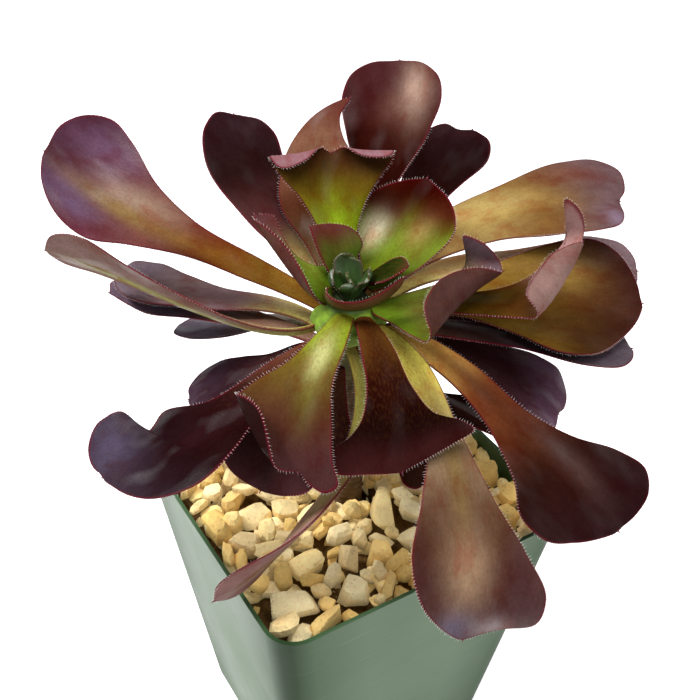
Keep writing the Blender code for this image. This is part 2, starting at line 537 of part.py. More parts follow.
def curl_lobes(leaf, length, forward, aside):
    """Wrap each tip lobe up and over a round fold that runs slantwise back from the tip and bows in.

    A lobe is flat up to its fold line, follows a circle through the curl's angle, and is flat again.
    Returns the new distances forward and aside, the lift, the turn, and which way the fold faces.
    """
    radius = CURL_RADIUS / MM
    lift, turn = np.zeros_like(forward), np.zeros_like(forward)
    facing_forward, facing_aside = np.ones_like(forward), np.zeros_like(forward)
    new_forward, new_aside = forward, aside
    for sign, (slant, bow, angle) in ((1, leaf[4]["left_curl"]), (-1, leaf[4]["right_curl"])):
        slant, angle = math.radians(slant), math.radians(angle)
        ahead, outward = math.cos(slant), sign * math.sin(slant)
        bowed = bow * (1.0 - np.exp(-np.abs(aside) / BOW_REACH))
        beyond = (forward - length) * ahead + aside * outward + bowed
        folded = (beyond > 0.0) & (aside * sign >= 0.0) & (angle > 0.0)
        wrapped = np.clip(beyond / radius, 0.0, angle)
        rest = np.maximum(beyond - radius * angle, 0.0)
        shift = radius * np.sin(wrapped) + rest * math.cos(angle) - beyond
        new_forward = np.where(folded, forward + shift * ahead, new_forward)
        new_aside = np.where(folded, aside + shift * outward, new_aside)
        lift = np.where(folded, radius * (1.0 - np.cos(wrapped)) + rest * math.sin(angle), lift)
        turn = np.where(folded, wrapped, turn)
        facing_forward = np.where(folded, ahead, facing_forward)
        facing_aside = np.where(folded, outward, facing_aside)
    return new_forward, new_aside, lift, turn, facing_forward, facing_aside


def make_leaf(name, leaf, material):
    """A closed leaf: the middle sheet thickened to both sides, with a thin rim."""
    rows, columns = leaf[4]["grid"]
    points, normal, thickness = leaf_sheet(leaf, rows, columns)
    offset = normal * (thickness * LEAF_THICKNESS / MM / 2.0)[..., None]
    top = ((points + offset) * MM).reshape(-1, 3)
    bottom = ((points - offset) * MM).reshape(-1, 3)
    index = np.arange(rows * columns).reshape(rows, columns)
    count = rows * columns
    faces = []
    for row in range(rows - 1):
        for column in range(columns - 1):
            a, b = index[row, column], index[row + 1, column]
            c, d = index[row + 1, column + 1], index[row, column + 1]
            faces.extend([(a, b, c), (a, c, d)])
            faces.extend([(a + count, c + count, b + count), (a + count, d + count, c + count)])
    rim = list(index[:, 0]) + list(index[-1, 1:]) + list(index[-2::-1, -1]) + list(index[0, -2:0:-1])
    for a, b in zip(rim, rim[1:] + rim[:1]):
        faces.extend([(a, a + count, b + count), (a, b + count, b)])
    faces = [tuple(int(corner) for corner in face) for face in faces]
    return add_object(name, np.concatenate([top, bottom]), faces, material)


def build():
    """Make every sub-part."""
    clear_scene()
    plastic = make_material("pot_green", (0.13, 0.20, 0.13), 0.45)
    earth = make_material("potting_soil", (0.05, 0.035, 0.025), 0.95)
    stone = make_material("crushed_stone", (0.62, 0.50, 0.30), 0.85)
    bark = make_material("stem_bark", (0.20, 0.14, 0.08), 0.75)
    bud_green = make_material("bud_green", (0.10, 0.22, 0.04), 0.45)
    dark_leaf = make_material("leaf_wine", (0.09, 0.025, 0.03), 0.35)
    inner_leaf = make_material("leaf_green", (0.22, 0.28, 0.05), 0.35)
    make_pot(plastic)
    make_soil(earth)
    make_bed(stone)
    make_stem(bark)
    make_bud(bud_green)
    for number, (name, row) in enumerate(STONES.items()):
        make_stone(name, row, stone, number + 1)
    for name, row in LEAVES.items():
        leaf = (*row[:4], {**LEAF_DEFAULTS, **row[4]})
        inner = name.startswith(("leaf_inner", "leaf_heart"))
        make_leaf(name, leaf, inner_leaf if inner else dark_leaf)


build()
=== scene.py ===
"""Potted aeonium: skins, hairs, stones, pot finish, floor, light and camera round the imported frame.

Leaf shapes are worked out in millimetres and made metres when a mesh is filled. +Z is up, and angles
round the stem are degrees from +X, seen from above.
"""

import math

import bmesh
import bpy
import numpy as np
from mathutils import Matrix, Vector


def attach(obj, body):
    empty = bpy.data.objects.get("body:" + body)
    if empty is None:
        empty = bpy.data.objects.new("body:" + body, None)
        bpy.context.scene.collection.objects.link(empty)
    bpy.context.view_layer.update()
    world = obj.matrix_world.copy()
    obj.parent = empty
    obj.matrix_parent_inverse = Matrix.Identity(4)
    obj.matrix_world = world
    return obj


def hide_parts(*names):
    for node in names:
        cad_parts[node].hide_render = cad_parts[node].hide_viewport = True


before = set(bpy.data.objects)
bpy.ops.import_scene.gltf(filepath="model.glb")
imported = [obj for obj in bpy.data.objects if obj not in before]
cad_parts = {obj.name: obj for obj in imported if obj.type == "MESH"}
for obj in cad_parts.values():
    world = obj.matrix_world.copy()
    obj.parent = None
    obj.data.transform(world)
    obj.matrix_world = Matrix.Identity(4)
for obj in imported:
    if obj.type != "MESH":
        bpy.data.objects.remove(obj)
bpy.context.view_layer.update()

MM = 0.001
WHITE = (1.0, 1.0, 1.0, 1.0)

# Seeds of the random draws: the first leaf's, the first bud leaf's, the first large stone's, the fill's.
LEAF_SEED, BUD_SEED, STONE_SEED, FILL_SEED = 100, 160, 400, 7

# The pot: side at the rim, height, how far a side draws in for each millimetre down, wall, and the
# radius of the corners inside.
POT_SIDE, POT_HEIGHT, POT_TAPER, POT_WALL, CORNER_INSIDE = 89.0, 95.0, 0.1295, 1.1, 7.4

# The stone bed: its height, then the gaps under a large stone, between a stone and the pot's wall, and
# between the wall and the height map.
BED_TOP, BED_GAP, WALL_GAP, MAP_GAP = 87.5, 0.3, 0.25, 0.4

# Blade thickness, radius of a folded lobe, distance from the midrib at which the cup is given, distance
# over which a fold line reaches its bow, and width of the blade's tip.
LEAF_THICKNESS, CURL_RADIUS, CUP_WIDTH, BOW_REACH, TIP_WIDTH = 2.0, 2.2, 10.0, 3.5, 1.0

# Rows of points from a leaf's neck to its tip, and steps from one edge over the face to the other.
LEAF_ROWS, HALF_LOOP = 72, 26

# How thick the blade is at its edge, at its tip and in the last tenth, as parts taken off the whole.
EDGE_THINNING, TIP_THINNING, END_THINNING = 0.6, 0.45, 0.5

# The slight wave along a leaf's edge: millimetres for each radian of it, and its height.
WAVE_LENGTH, WAVE_HEIGHT = 5.2, 0.45

# Edge hairs: apart, then each one's length, radius at the root, and depth of the root in the leaf. Then
# the same three of the point at the tip.
HAIR_SPACING, HAIR_LENGTH, HAIR_WIDTH, HAIR_ROOT = 0.7, 0.78, 0.085, 0.15
POINT_LENGTH, POINT_WIDTH, POINT_ROOT = 1.1, 0.34, 0.4

# Where on a leaf's length one colour gives way to the next, and how far in from the edge the wine rim
# fades, in millimetres. Then the midrib band's strength and half width, over the leaf and under it.
LOW_BLADE, MIDDLE_BLADE, TIP_BLADE, RIM_FADE = (0.15, 0.48), (0.4, 0.74), (0.7, 1.0), (0.08, 0.48)
OVER_BAND, OVER_BAND_WIDTH, UNDER_BAND, UNDER_BAND_WIDTH = 0.6, 2.4, 0.7, 2.0


# ---- tables

def srgb(code):
    """A colour written as six hexadecimal digits, as linear red, green and blue."""
    values = np.array([int(code[place:place + 2], 16) for place in (0, 2, 4)]) / 255.0
    return np.where(values <= 0.04045, values / 12.92, ((values + 0.055) / 1.055) ** 2.4)


def paint(code, strength=1.0):
    """A colour as a shader socket takes it: linear red, green and blue times strength, and opaque."""
    return (*(srgb(code) * strength), 1.0)


CRIMSON, HAIR = srgb("5e1422"), srgb("f4e9e4")

# A spoon-shaped edge: points in parts of the length and of the blade's half width.
SPOON_EDGE = ((0.28, 0.3), (0.52, 0.5), (0.7, 0.85), (0.84, 1.0), (0.95, 0.7))


def numbers(text):
    """Rows of numbers from text, with a comma between rows and a space between numbers."""
    return [tuple(float(word) for word in row.split()) for row in text.split(",")]


def edge_points(edge):
    """An edge's points, as part of the length and distance from the midrib, from its text or half width."""
    if isinstance(edge, str):
        return [(hundredths / 100.0, away) for hundredths, away in numbers(edge)]
    return [(part, share * edge) for part, share in SPOON_EDGE]


def blade(marks, left, right, colours, **shape):
    """One leaf's row, with the usual value of each thing that it doesn't say."""
    usual = {"neck": 3.6, "cup": 0.8, "roll": (0, 0), "left_curl": (0, 0, 0), "right_curl": (0, 0, 0),
             "start": 5.6, "rim": 0.85, "patches": ()}
    return {"marks": numbers(marks), "left": edge_points(left), "right": edge_points(right),
            "colours": [srgb(code) for code in colours.split()], **usual, **shape}


# Each leaf: where its midrib starts at the stem (azimuth, height), then where it is at one third, at two
# thirds and at the tip (azimuth, reach, height), in degrees and millimetres. Then its left and its right
# edge, in hundredths of the length and millimetres from the midrib, or the half width of a spoon shape.
# Then the upper face's colours at the neck, low on the blade, on the blade and at the tip, the colour
# of the band on the midrib, and the underside's. Where it isn't as usual:
#   neck: width where the leaf joins the stem   roll: turn about the midrib at the base and at the tip
#   cup: how far the sides rise at 10 mm from the midrib
#   left_curl, right_curl: a lobe's fold from the tip: its slant back, how far it bows in, and its angle
#   start: distance of the base from the stem's axis   rim: strength of the wine rim
#   patches: soft spots of colour and sheen, some of the leaf's own colour and some painted sheen
#       highlights: part of the length, millimetres from the midrib, half length, half width, colour and
#       strength
LEAVES = {
    "leaf_heart_front": blade(
        "170 157.2, -135 7 156.4, -84 9.5 158, -42 13.5 162.3", "25 1.6, 70 1.5",
        "12 4, 40 4, 70 4, 90 2.8", "34480e 28360a 2a340e 4a1c1c 30440c 5c3a26", neck=4.4, cup=3,
        roll=(-45, -52)),
    "leaf_heart_right": blade(
        "-14 158.2, -16 8 159.6, -25 11 161.8, -33 14 164", "30 4, 70 4.6", "30 5, 70 4",
        "101c04 142206 222c0a 402c16 162406 3c3020", neck=5, cup=4, start=5),
    "leaf_heart_back": blade(
        "85 157.5, 92 8 161, 97 11 165, 100 15 168", "30 3, 70 2.5", "15 6, 35 9, 60 8.5, 85 5",
        "3a5a10 4c4c18 4e241e 4e2826 42541a 5a3c38", neck=5.5, cup=4),
    "leaf_inner_back": blade(
        "68 153.5, 67 14 160, 69 24 168, 67 36 176", "20 3.5, 50 5, 73 9, 84 13, 94 16, 107 14.5, 108 8",
        "20 3.5, 46 5, 68 9, 84 13, 98 16, 113 14.5, 113 8", "7c9024 688212 54440c 3a2210 78901a 7e5c62",
        cup=0.4, left_curl=(7, 4, 150), right_curl=(-5, 4, 150)),
    "leaf_inner_back_right": blade(
        "10 155.5, 20 15 158, 27 29 162, 29 41 169", "15 4, 30 7, 50 11, 68 12.5, 85 10, 94 6",
        "10 5, 22 8, 42 12, 58 14, 74 12, 88 8, 95 4", "384408 5e701e 3c160a 2c0402 586a14 5a3c38",
        neck=5, cup=2,
        patches=((0.52, 7, 5, 3, "e0d4b8", 0.55), (0.58, -4.5, 4.5, 3.5, "a08450", 0.45))),
    "leaf_inner_left": blade(
        "125 154.5, 134 10 158, 123 18 163, 114 29 168", "15 4.5, 40 6.5, 65 6.5, 88 4",
        "15 5, 30 6.5, 45 3.5, 60 1.6, 80 2.6, 95 4", "4c6813 70802c 5c3c36 4c2a2c 5c7018 4a2e2a", neck=6,
        cup=1.2, left_curl=(84, 0, 110)),
    "leaf_inner_right": blade(
        "-50 152.3, -25 14 152.5, -19 26 154, -20 39 158", "30 3, 55 3.5, 76 4.5, 86 8, 96 13, 103 9",
        "10 7, 18 14, 28 20.5, 45 22, 65 18.5, 85 11.5, 96 5",
        "4a6210 767030 6e5c38 58444a 607820 462c28", neck=4.5, cup=0.3, left_curl=(50, 0, 80),
        right_curl=(50, 4, 140)),
    "leaf_inner_front_left": blade(
        "-132 152.5, -137 21 152, -137 36 147, -135 46 138",
        "25 4, 50 4.5, 75 7, 95 8, 110 8.5, 113 6, 108 2.5", "20 4, 42 7.5, 58 13.5, 72 17, 86 16, 97 9",
        "7a8c1e 5a481a 44261a 422626 5e5c1c 20100f", neck=5, cup=0.4, right_curl=(50, 0, 150),
        patches=((0.35, -0.5, 6, 2.2, "dcdc98", 0.45),)),
    "leaf_inner_front": blade(
        "-88 151.5, -101 22 150, -104 34 143, -104 42 134",
        "25 4, 50 6, 66 10, 73 16, 80 18.5, 88 13.5, 95 7",
        "25 4, 50 5, 66 7.5, 77 13, 82 18.5, 89 16, 95 8", "4e3010 220805 140605 381818 280e08 4a3034",
        neck=4.4, cup=0.4),
    "leaf_middle_right": blade(
        "-16 150, -16 21 149, -19 42 150, -11 65 158",
        "30 3.5, 56 4, 80 4, 93 4.5, 105 5.5, 117 7, 114 4, 106 1.2",
        "30 3.5, 46 4.5, 57 7, 66 11.5, 71 16, 76 17, 84 14, 92 9, 98 4.5",
        "5c5c18 4a3608 44260e 906c68 4c3e10 7c605a", neck=4.4, cup=0.8, left_curl=(25, 0, 80),
        right_curl=(43, 7, 140)),
    "leaf_middle_back": blade(
        "95 150.5, 71 32 158, 70 47 170, 59 57 182", "25 6, 47 11, 62 10, 80 6, 93 2.5",
        "30 7, 55 11, 70 10, 82 6, 92 2", "5a4630 462214 6e4a38 542e26 5e4a34 765250", roll=(-20, -20)),
    "leaf_upper_left": blade(
        "135 150.5, 122 30 154, 124 58 161, 118 98 168", "30 2.5, 55 4, 68 8, 78 12, 88 11, 96 6",
        "30 4, 55 6, 70 10, 82 16, 90 18, 97 15, 101 8", "886424 5a2610 5e3634 3c222e 6e4a18 4b2c3a",
        cup=0.5, roll=(-40, -40),
        patches=((0.7, -3.5, 11, 3.5, "a08c74", 0.5), (0.86, 6, 9, 5, "5c4c66", 0.6),
                 (0.84, -10, 9, 5, "604860", 0.6), (0.74, 1, 15, 2.2, "7a6430", 0.6),
                 (0.76, 13, 14, 4, "5a1c2c", 0.6))),
    "leaf_upper_back": blade(
        "50 149.5, 49 30 158, 47 54 171, 49 84 183", "30 4, 50 6.5, 66 12, 82 15.5, 92 13.5, 98.5 8",
        "30 3.5, 53 5, 70 10, 84 12.5, 94 10.5, 99 6", "3e1a14 180402 2e0d09 3c1c1e 200604 3c2028", cup=1,
        patches=((0.87, -5, 10, 4.2, "9c8070", 0.75), (0.8, 1, 6, 4, "6a463c", 0.4))),
    "leaf_upper_right": blade(
        "26 147, 21 39 152, 10 67 156, 2 92 155", "20 4, 45 8.5, 65 11, 84 15.5, 97 17, 106 13.5, 105 6",
        "30 5, 50 9, 70 13, 85 15, 94 12, 99 6", "c4945a 8c7444 644420 5a4446 80642e 4b2c3a",
        roll=(12, 12),
        patches=((0.55, 3, 16, 5, "b49e60", 0.5), (0.95, -9, 5, 5, "8c7890", 0.4),
                 (0.85, 11, 12, 4, "6c4030", 0.5))),
    "leaf_front_long": blade(
        "-62 149, -79 30 140, -92 54 125, -97.5 67 102",
        "20 3.5, 45 4, 60 7.5, 75 14, 88 18.5, 97 16.5, 98 9",
        "20 3.5, 45 5, 60 9.5, 75 13.5, 86 11.5, 95 5.5", "dcd05a 7e6850 462a1c 4c3434 6a5426 4b2c3a",
        cup=1,
        patches=((0.79, 0, 9, 5.5, "a4866a", 0.7), (0.8, -13, 10, 4, "3c1c1c", 0.6),
                 (0.95, -3, 4, 5, "5e586c", 0.65), (0.97, 7, 3, 5, "a89a9a", 0.55),
                 (0.82, 13, 10, 4.5, "3c1c20", 0.6))),
    "leaf_front_right": blade(
        "-54 145.6, -41 26 137.5, -54 52 124, -57 75 108",
        "20 3.5, 40 4.5, 58 5, 70 8.5, 82 14.5, 93 16.5, 101 12.5, 102 6",
        "20 3.5, 40 4.5, 58 8, 68 12, 76 18, 83 17.5, 90 11.5, 96 5",
        "f8c464 703a20 26100b 271214 4a2614 40242c", roll=(10, 25), start=6.6,
        patches=((0.74, 3, 12, 3, "5a4440", 0.4),)),
    "leaf_left_edge_on": blade(
        "152 147.5, 150 26 146, 136 54 149, 132 84 152", 11, 11,
        "a8a850 7c7050 5c3c3c 4c2c34 8c9050 6e5852", cup=1.6, roll=(42, 60)),
    # Its neck is lighter than the leaf's own colour: painted light where it lies in shade under the inner
    # leaves.
    "leaf_right_round": blade(
        "-12 147, -4 30 145, -11 57 141, -13 86 136", "20 4, 43 8.5, 58 14, 74 18.5, 88 19, 98 14, 101 7",
        "20 4, 36 6.5, 50 12, 64 20, 74 19, 87 12, 96 5", "b0a834 96742c 4a3012 381c18 60481a 40242c",
        cup=1, roll=(10, 24),
        patches=((0.72, 9, 11, 6, "8e7036", 0.7), (0.86, 0, 8, 6, "4a2a18", 0.5))),
    "leaf_back_left": blade(
        "100 147, 81 31 152, 85 56 160, 83 84 168", "20 4, 35 8, 55 12, 80 12.5, 94 9, 101 4",
        "30 4, 60 6, 75 9.5, 88 10, 96 7", "b0a060 4e2a2a 1c0c0b 241216 281214 2c1820", cup=1),
    "leaf_lower_left": blade(
        "-170 146, -165 27 142, -171 49 134, 180 67 126",
        "20 3.5, 42 4.5, 55 8.5, 70 12, 80 10.5, 90 6, 96 2.5",
        "30 5.5, 52 6.5, 70 11, 78 8.5, 83 9, 83 12, 87 15, 96 15.5, 105 13.5, 108 8, 105 3",
        "5a3428 240d0d 1a0a0d 30242c 2a1014 30202a", roll=(-10, -10),
        patches=((0.97, -7, 8, 7, "4a4256", 0.7),)),
    # Colours much lighter than the leaf's own: painted light where the leaf lies in the other leaves' shade.
    "leaf_right_behind": blade(
        "24 143.5, 20 37 144, 7 67 140, -3 96 135", "30 4, 60 6.5, 75 10, 90 16, 98 15, 101 8",
        "30 4, 60 6, 78 12, 90 13, 97 8", "f0ec84 f0c88a a8785e 7c666a e8c880 4a343c"),
    "leaf_back_right": blade(
        "58 145, 40 31 148, 36 59 154, 35 94 160", "30 3.5, 60 7, 80 12.5, 93 13, 100 8.5, 99 4",
        "30 3.5, 60 4.5, 75 7.5, 88 10, 96 7", "3a1a16 301210 24100e 281417 30140f 281418"),
    "leaf_front_drooping": blade(
        "-118 144, -115 23 128, -137 40 113, -153 59 101", 10, 10,
        "8a8a3c 847244 94706a 66424c 7c743c 745652", roll=(0, 80)),
    "leaf_left_behind": blade(
        "118 141.5, 110 27 141, 118 51 138, 119 76 136", "30 4, 60 8, 80 9, 93 5",
        "30 3, 55 4.5, 72 7.5, 90 10.5, 101 8", "e0d074 745a5c 7a6464 7c6c76 745a5c 3a2830"),
    "leaf_right_under": blade(
        "-14 143, -17 27 140.5, -21 53 135, -20 79 129", "30 3.5, 60 7, 80 11, 93 11, 101 6",
        "30 3.5, 60 6, 78 9, 88 9.5, 96 5", "5a4034 44302e 4a3e46 564a52 44302e 2c2026"),
    "leaf_right_short": blade(
        "11 140.6, 0 19 138.5, -2 35 134, -8 50 130", "30 3.5, 60 6.5, 80 7, 93 4.5",
        "30 3.5, 60 5.5, 80 6.5, 92 4.5", "4a2e2a 3a2424 302024 382c30 3a2424 2a1c20"),
    # Colours much lighter than the leaf's own: painted light where the leaf lies in the other leaves' shade.
    "leaf_left_under": blade(
        "142 139.5, 118 28 137, 119 52 133, 121 77 131", "30 3, 65 5.5, 78 5.5, 90 3",
        "30 3.5, 60 7, 80 10, 95 9, 103 4.5", "9a7a68 80604e 6a5c6c 645260 705040 2c2026"),
    "leaf_right_low": blade(
        "-12 138, -10 22 133.5, -20 42 124, -24 59 112",
        "20 3.5, 42 6.5, 63 11, 85 15.5, 100 15, 107 10, 105 4", "30 4, 60 9, 80 12.5, 92 10, 98 4.5",
        "5a342c 482626 3e2428 64485a 402222 2c1a22", roll=(12, 12)),
    "leaf_front_hidden": blade(
        "-138 138.5, -140 10 130, -139 14 121, -138 19 113", 10, 10,
        "503020 301612 24100f 24100f 382018 2c1a1c", neck=3, start=7.4),
    "leaf_left_low": blade(
        "135 137.5, 119 18 130, 124 33 118, 126 49 106", "30 5, 55 11, 75 12, 90 7",
        "30 3, 50 4, 65 7, 84 10, 98 8.5, 103 4", "4a2c2a 3e2426 38222a 44323e 3e2426 2c1a22",
        roll=(-20, -20)),
    "leaf_front_left_low": blade(
        "-165 141.5, -154 16 138, -151 30 131, -152 40 122", "30 4, 55 9, 72 12.5, 84 12, 94 6.5",
        "30 4, 58 8, 75 11, 90 12.5, 99 9, 101 4", "48281e 361c18 321a1a 402426 381c18 2a181c"),
    "leaf_front_right_low": blade(
        "-44 134, -33 17 126, -30 34 117, -26 50 106", 9, 9, "4a2c22 301814 281412 301c1c 301814 2a181c",
        start=7),
    "leaf_front_low": blade(
        "-85 138.5, -73 13 130, -68 21 121, -69 28 110", 12, 13,
        "4a3020 301a12 24110d 28140f 301a12 2a181c", start=7.4),
    "leaf_back_left_low": blade(
        "98 139.5, 96 22 135, 107 40 127, 111 62 119", 9, 9, "94a468 7a7264 78707a 90889a 6a6058 322a30"),
}

# The growing tip's youngest leaves, which share their colours and have a faint rim.
BUD = {"colours": "2a4a10 223a0c 26380e 4a5a24 2c4812 283a1a", "rim": 0.25}
BUD_LEAVES = {
    "bud_scale_left": blade(
        "150 155.2, 150 3 157.6, 148 4.4 160, 140 3.8 162.6", "30 2.8, 70 2.9", "30 2.8, 70 2.9",
        neck=3.8, cup=14, start=1.4, **BUD),
    "bud_scale_right": blade(
        "-25 155.2, -25 2.8 157.6, -30 4.6 160, -42 4.6 161.8", "30 2.8, 70 2.9", "30 2.8, 70 2.9",
        neck=3.8, cup=14, start=1.4, **BUD),
    "bud_scale_back": blade(
        "62 155.2, 60 3.2 158.4, 66 4.9 162, 60 4.4 164.2", "30 3.4, 70 3.2", "30 3.4, 70 3.2", neck=4.2,
        cup=12, start=1.6, **BUD),
    "bud_scale_front": blade(
        "-112 155.2, -112 2.4 157.4, -118 3.2 159, -105 2.4 160", "30 2.3, 70 2.4", "30 2.3, 70 2.4",
        neck=3.2, cup=16, start=1.2, **BUD),
    "bud_scale_heart": blade(
        "20 155.2, 20 1.2 157.6, 60 1.4 159, 120 0.8 160.4", "30 1.8, 70 1.8", "30 1.8, 70 1.8", neck=2.4,
        cup=20, start=0.5, **BUD),
}

# Loose stones: centre x, y, then length, width, height, all millimetres, and turn in degrees.
STONES = {
    "stone_front_slab": (-33.4, -30.6, 13.5, 10, 7.5, -20),
    "stone_front_shard": (-28.5, -38.4, 11.5, 3.6, 6.5, 12),
    "stone_front_pyramid": (-17.6, -34.2, 9.5, 7.5, 7, -30),
    "stone_front_wedge": (-35, -22, 6, 5, 4, -30),
    "stone_front_chip": (-24, -29, 6.5, 4.5, 4, -30),
    "stone_front_broad": (-23, -19.5, 11, 8, 6, 10),
    "stone_front_grey": (-13, -24, 9.5, 6, 7, 60),
    "stone_front_golden": (-4.6, -26.6, 8.5, 8, 6.5, -30),
    "stone_front_corner": (-8.8, -34.6, 6.5, 5.5, 5, 0),
    "stone_front_rim": (-12.5, -39.6, 7, 4, 4, 0),
    "stone_middle_tall": (3.6, -14.6, 14, 7.8, 8, 60),
    "stone_middle_round": (5, -26, 8, 6, 6, 0),
    "stone_middle_small": (12, -18.5, 6, 5, 4, -20),
    "stone_left_grey": (-34, -6, 9, 7, 6.5, -50),
    "stone_left_beige": (-27, 2.5, 10.5, 7.5, 6, 10),
    "stone_left_pale": (-27, 12.5, 7.5, 6, 5, 20),
    "stone_left_rim": (-38.5, 5, 5, 5, 4.5, 0),
    "stone_left_back": (-37, 17.5, 7, 6, 5, 30),
    "stone_right_smooth": (37.5, -4, 8, 7, 9, 80),
    "stone_right_golden": (37, -16, 10, 7, 8, 80),
}


# ---- shared shapes

def ease(start, end, value):
    """Zero up to start, one from end on, and a smooth S between them."""
    part = np.clip((np.asarray(value, float) - start) / (end - start), 0.0, 1.0)
    return part * part * (3.0 - 2.0 * part)


def unit(vectors):
    """Vectors of length one."""
    return vectors / np.maximum(np.linalg.norm(vectors, axis=-1, keepdims=True), 1e-9)


def turned(points, angle, first=0, second=1):
    """Points turned by an angle in radians, from the first axis towards the second."""
    cosine, sine = math.cos(angle), math.sin(angle)
    result = points.copy()
    result[:, first] = points[:, first] * cosine - points[:, second] * sine
    result[:, second] = points[:, first] * sine + points[:, second] * cosine
    return result


def new_piece(name, points, faces, materials, tint=None, grain=None, face_material=None):
    """A named mesh object from points in millimetres, with its colour and its pattern coordinates."""
    mesh = bpy.data.meshes.new(name)
    mesh.from_pydata((points * MM).tolist(), [], faces)
    for material in materials:
        mesh.materials.append(material)
    if tint is not None:
        layer = mesh.color_attributes.new("tint", "FLOAT_COLOR", "POINT")
        layer.data.foreach_set("color", np.column_stack([tint, np.ones(len(tint))]).ravel())
    if grain is not None:
        layer = mesh.attributes.new("grain", "FLOAT_VECTOR", "POINT")
        layer.data.foreach_set("vector", grain.ravel())
    if face_material is not None:
        mesh.polygons.foreach_set("material_index", face_material)
    mesh.update()
    mesh.shade_smooth()
    piece = bpy.data.objects.new(name, mesh)
    bpy.context.scene.collection.objects.link(piece)
    return piece


def loop_faces(rows, count):
    """Quads between neighbouring closed loops of count points each, rows loops in all."""
    row, side = np.meshgrid(np.arange(rows - 1), np.arange(count), indexing="ij")
    after = (side + 1) % count
    quads = np.stack([row * count + side, row * count + after, (row + 1) * count + after,
                      (row + 1) * count + side], axis=-1)
    return quads.reshape(-1, 4)


def fan_faces(first, count, pole, flip=False):
    """Triangles from the closed ring of count points that begins at first to one pole."""
    ring = first + np.arange(count)
    after = np.roll(ring, -1)
    pair = (after, ring) if flip else (ring, after)
    return np.column_stack([*pair, np.full(count, pole)]).tolist()


def closed_faces(rings, around):
    """Quads from ring to ring, then a fan from the first and from the last ring to its pole."""
    low = rings * around
    faces = loop_faces(rings, around).tolist() + fan_faces(0, around, low, flip=True)
    return faces + fan_faces(low - around, around, low + 1)


# ---- leaves

def leaf_marks(leaf):
    """The midrib's points at the stem, at one third, at two thirds and at the tip."""
    (azimuth, height), *rest = leaf["marks"]
    marks = [(azimuth, leaf["start"], height), *rest]
    return [np.array([math.cos(math.radians(a)) * r, math.sin(math.radians(a)) * r, z]) for a, r, z in marks]


def leaf_length(leaf):
    """Length of the midrib, from mark to mark."""
    marks = leaf_marks(leaf)
    return float(sum(np.linalg.norm(after - before) for before, after in zip(marks, marks[1:])))


def midrib(leaf, station):
    """Place, direction, side and upward vectors of a leaf's midrib at stations 0 (stem) to 1 (tip).

    The midrib is the cubic curve through the leaf's four marks. Past the tip it runs on straight.
    """
    base, first, second, tip = leaf_marks(leaf)
    toward_first = (-5.0 * base + 18.0 * first - 9.0 * second + 2.0 * tip) / 6.0
    toward_second = (2.0 * base - 9.0 * first + 18.0 * second - 5.0 * tip) / 6.0
    chord = tip - base
    side = np.array([-chord[1], chord[0], 0.0]) / math.hypot(chord[0], chord[1])
    t = np.minimum(station, 1.0)[..., None]
    rest = 1.0 - t
    place = rest ** 3 * base + 3 * rest ** 2 * t * toward_first
    place = place + 3 * rest * t ** 2 * toward_second + t ** 3 * tip
    along = rest ** 2 * (toward_first - base) + 2 * rest * t * (toward_second - toward_first)
    along = along + t ** 2 * (tip - toward_second)
    place = place + 3.0 * (tip - toward_second) * np.maximum(station - 1.0, 0.0)[..., None]
    along = unit(along)
    across = unit(side - along * (along @ side)[..., None])
    above = np.cross(along, across)
    base_roll, tip_roll = leaf["roll"]
    roll = np.radians(base_roll + (tip_roll - base_roll) * ease(0.0, 1.0, station))[..., None]
    return (place, along, across * np.cos(roll) + above * np.sin(roll),
            above * np.cos(roll) - across * np.sin(roll))


def smooth_curve(points, count):
    """A smooth curve through points: count places, evenly spaced along the straight runs between them."""
    points = np.array(points, float)
    runs = np.concatenate([[0.0], np.cumsum(np.linalg.norm(np.diff(points, axis=0), axis=1))])
    slopes = np.gradient(points, runs, axis=0)
    wanted = np.linspace(0.0, runs[-1], count)
    before = np.clip(np.searchsorted(runs, wanted, side="right") - 1, 0, len(runs) - 2)
    span = (runs[before + 1] - runs[before])[:, None]
    x = (wanted[:, None] - runs[before][:, None]) / span
    return (
        (1 + 2 * x) * (1 - x) ** 2 * points[before]
        + x * (1 - x) ** 2 * span * slopes[before]
        + x ** 2 * (3 - 2 * x) * points[before + 1]
        + x ** 2 * (x - 1) * span * slopes[before + 1]
    )


def leaf_edge(leaf, side, rows):
    """One edge from the stem to the tip: distance forward along the midrib and distance from it."""
    length = leaf_length(leaf)
    marks = [(0.0, leaf["neck"] / 2.0)]
    marks += [(station * length, away) for station, away in leaf[side]]
    marks += [(length, TIP_WIDTH / 2.0)]
    return smooth_curve(marks, rows)


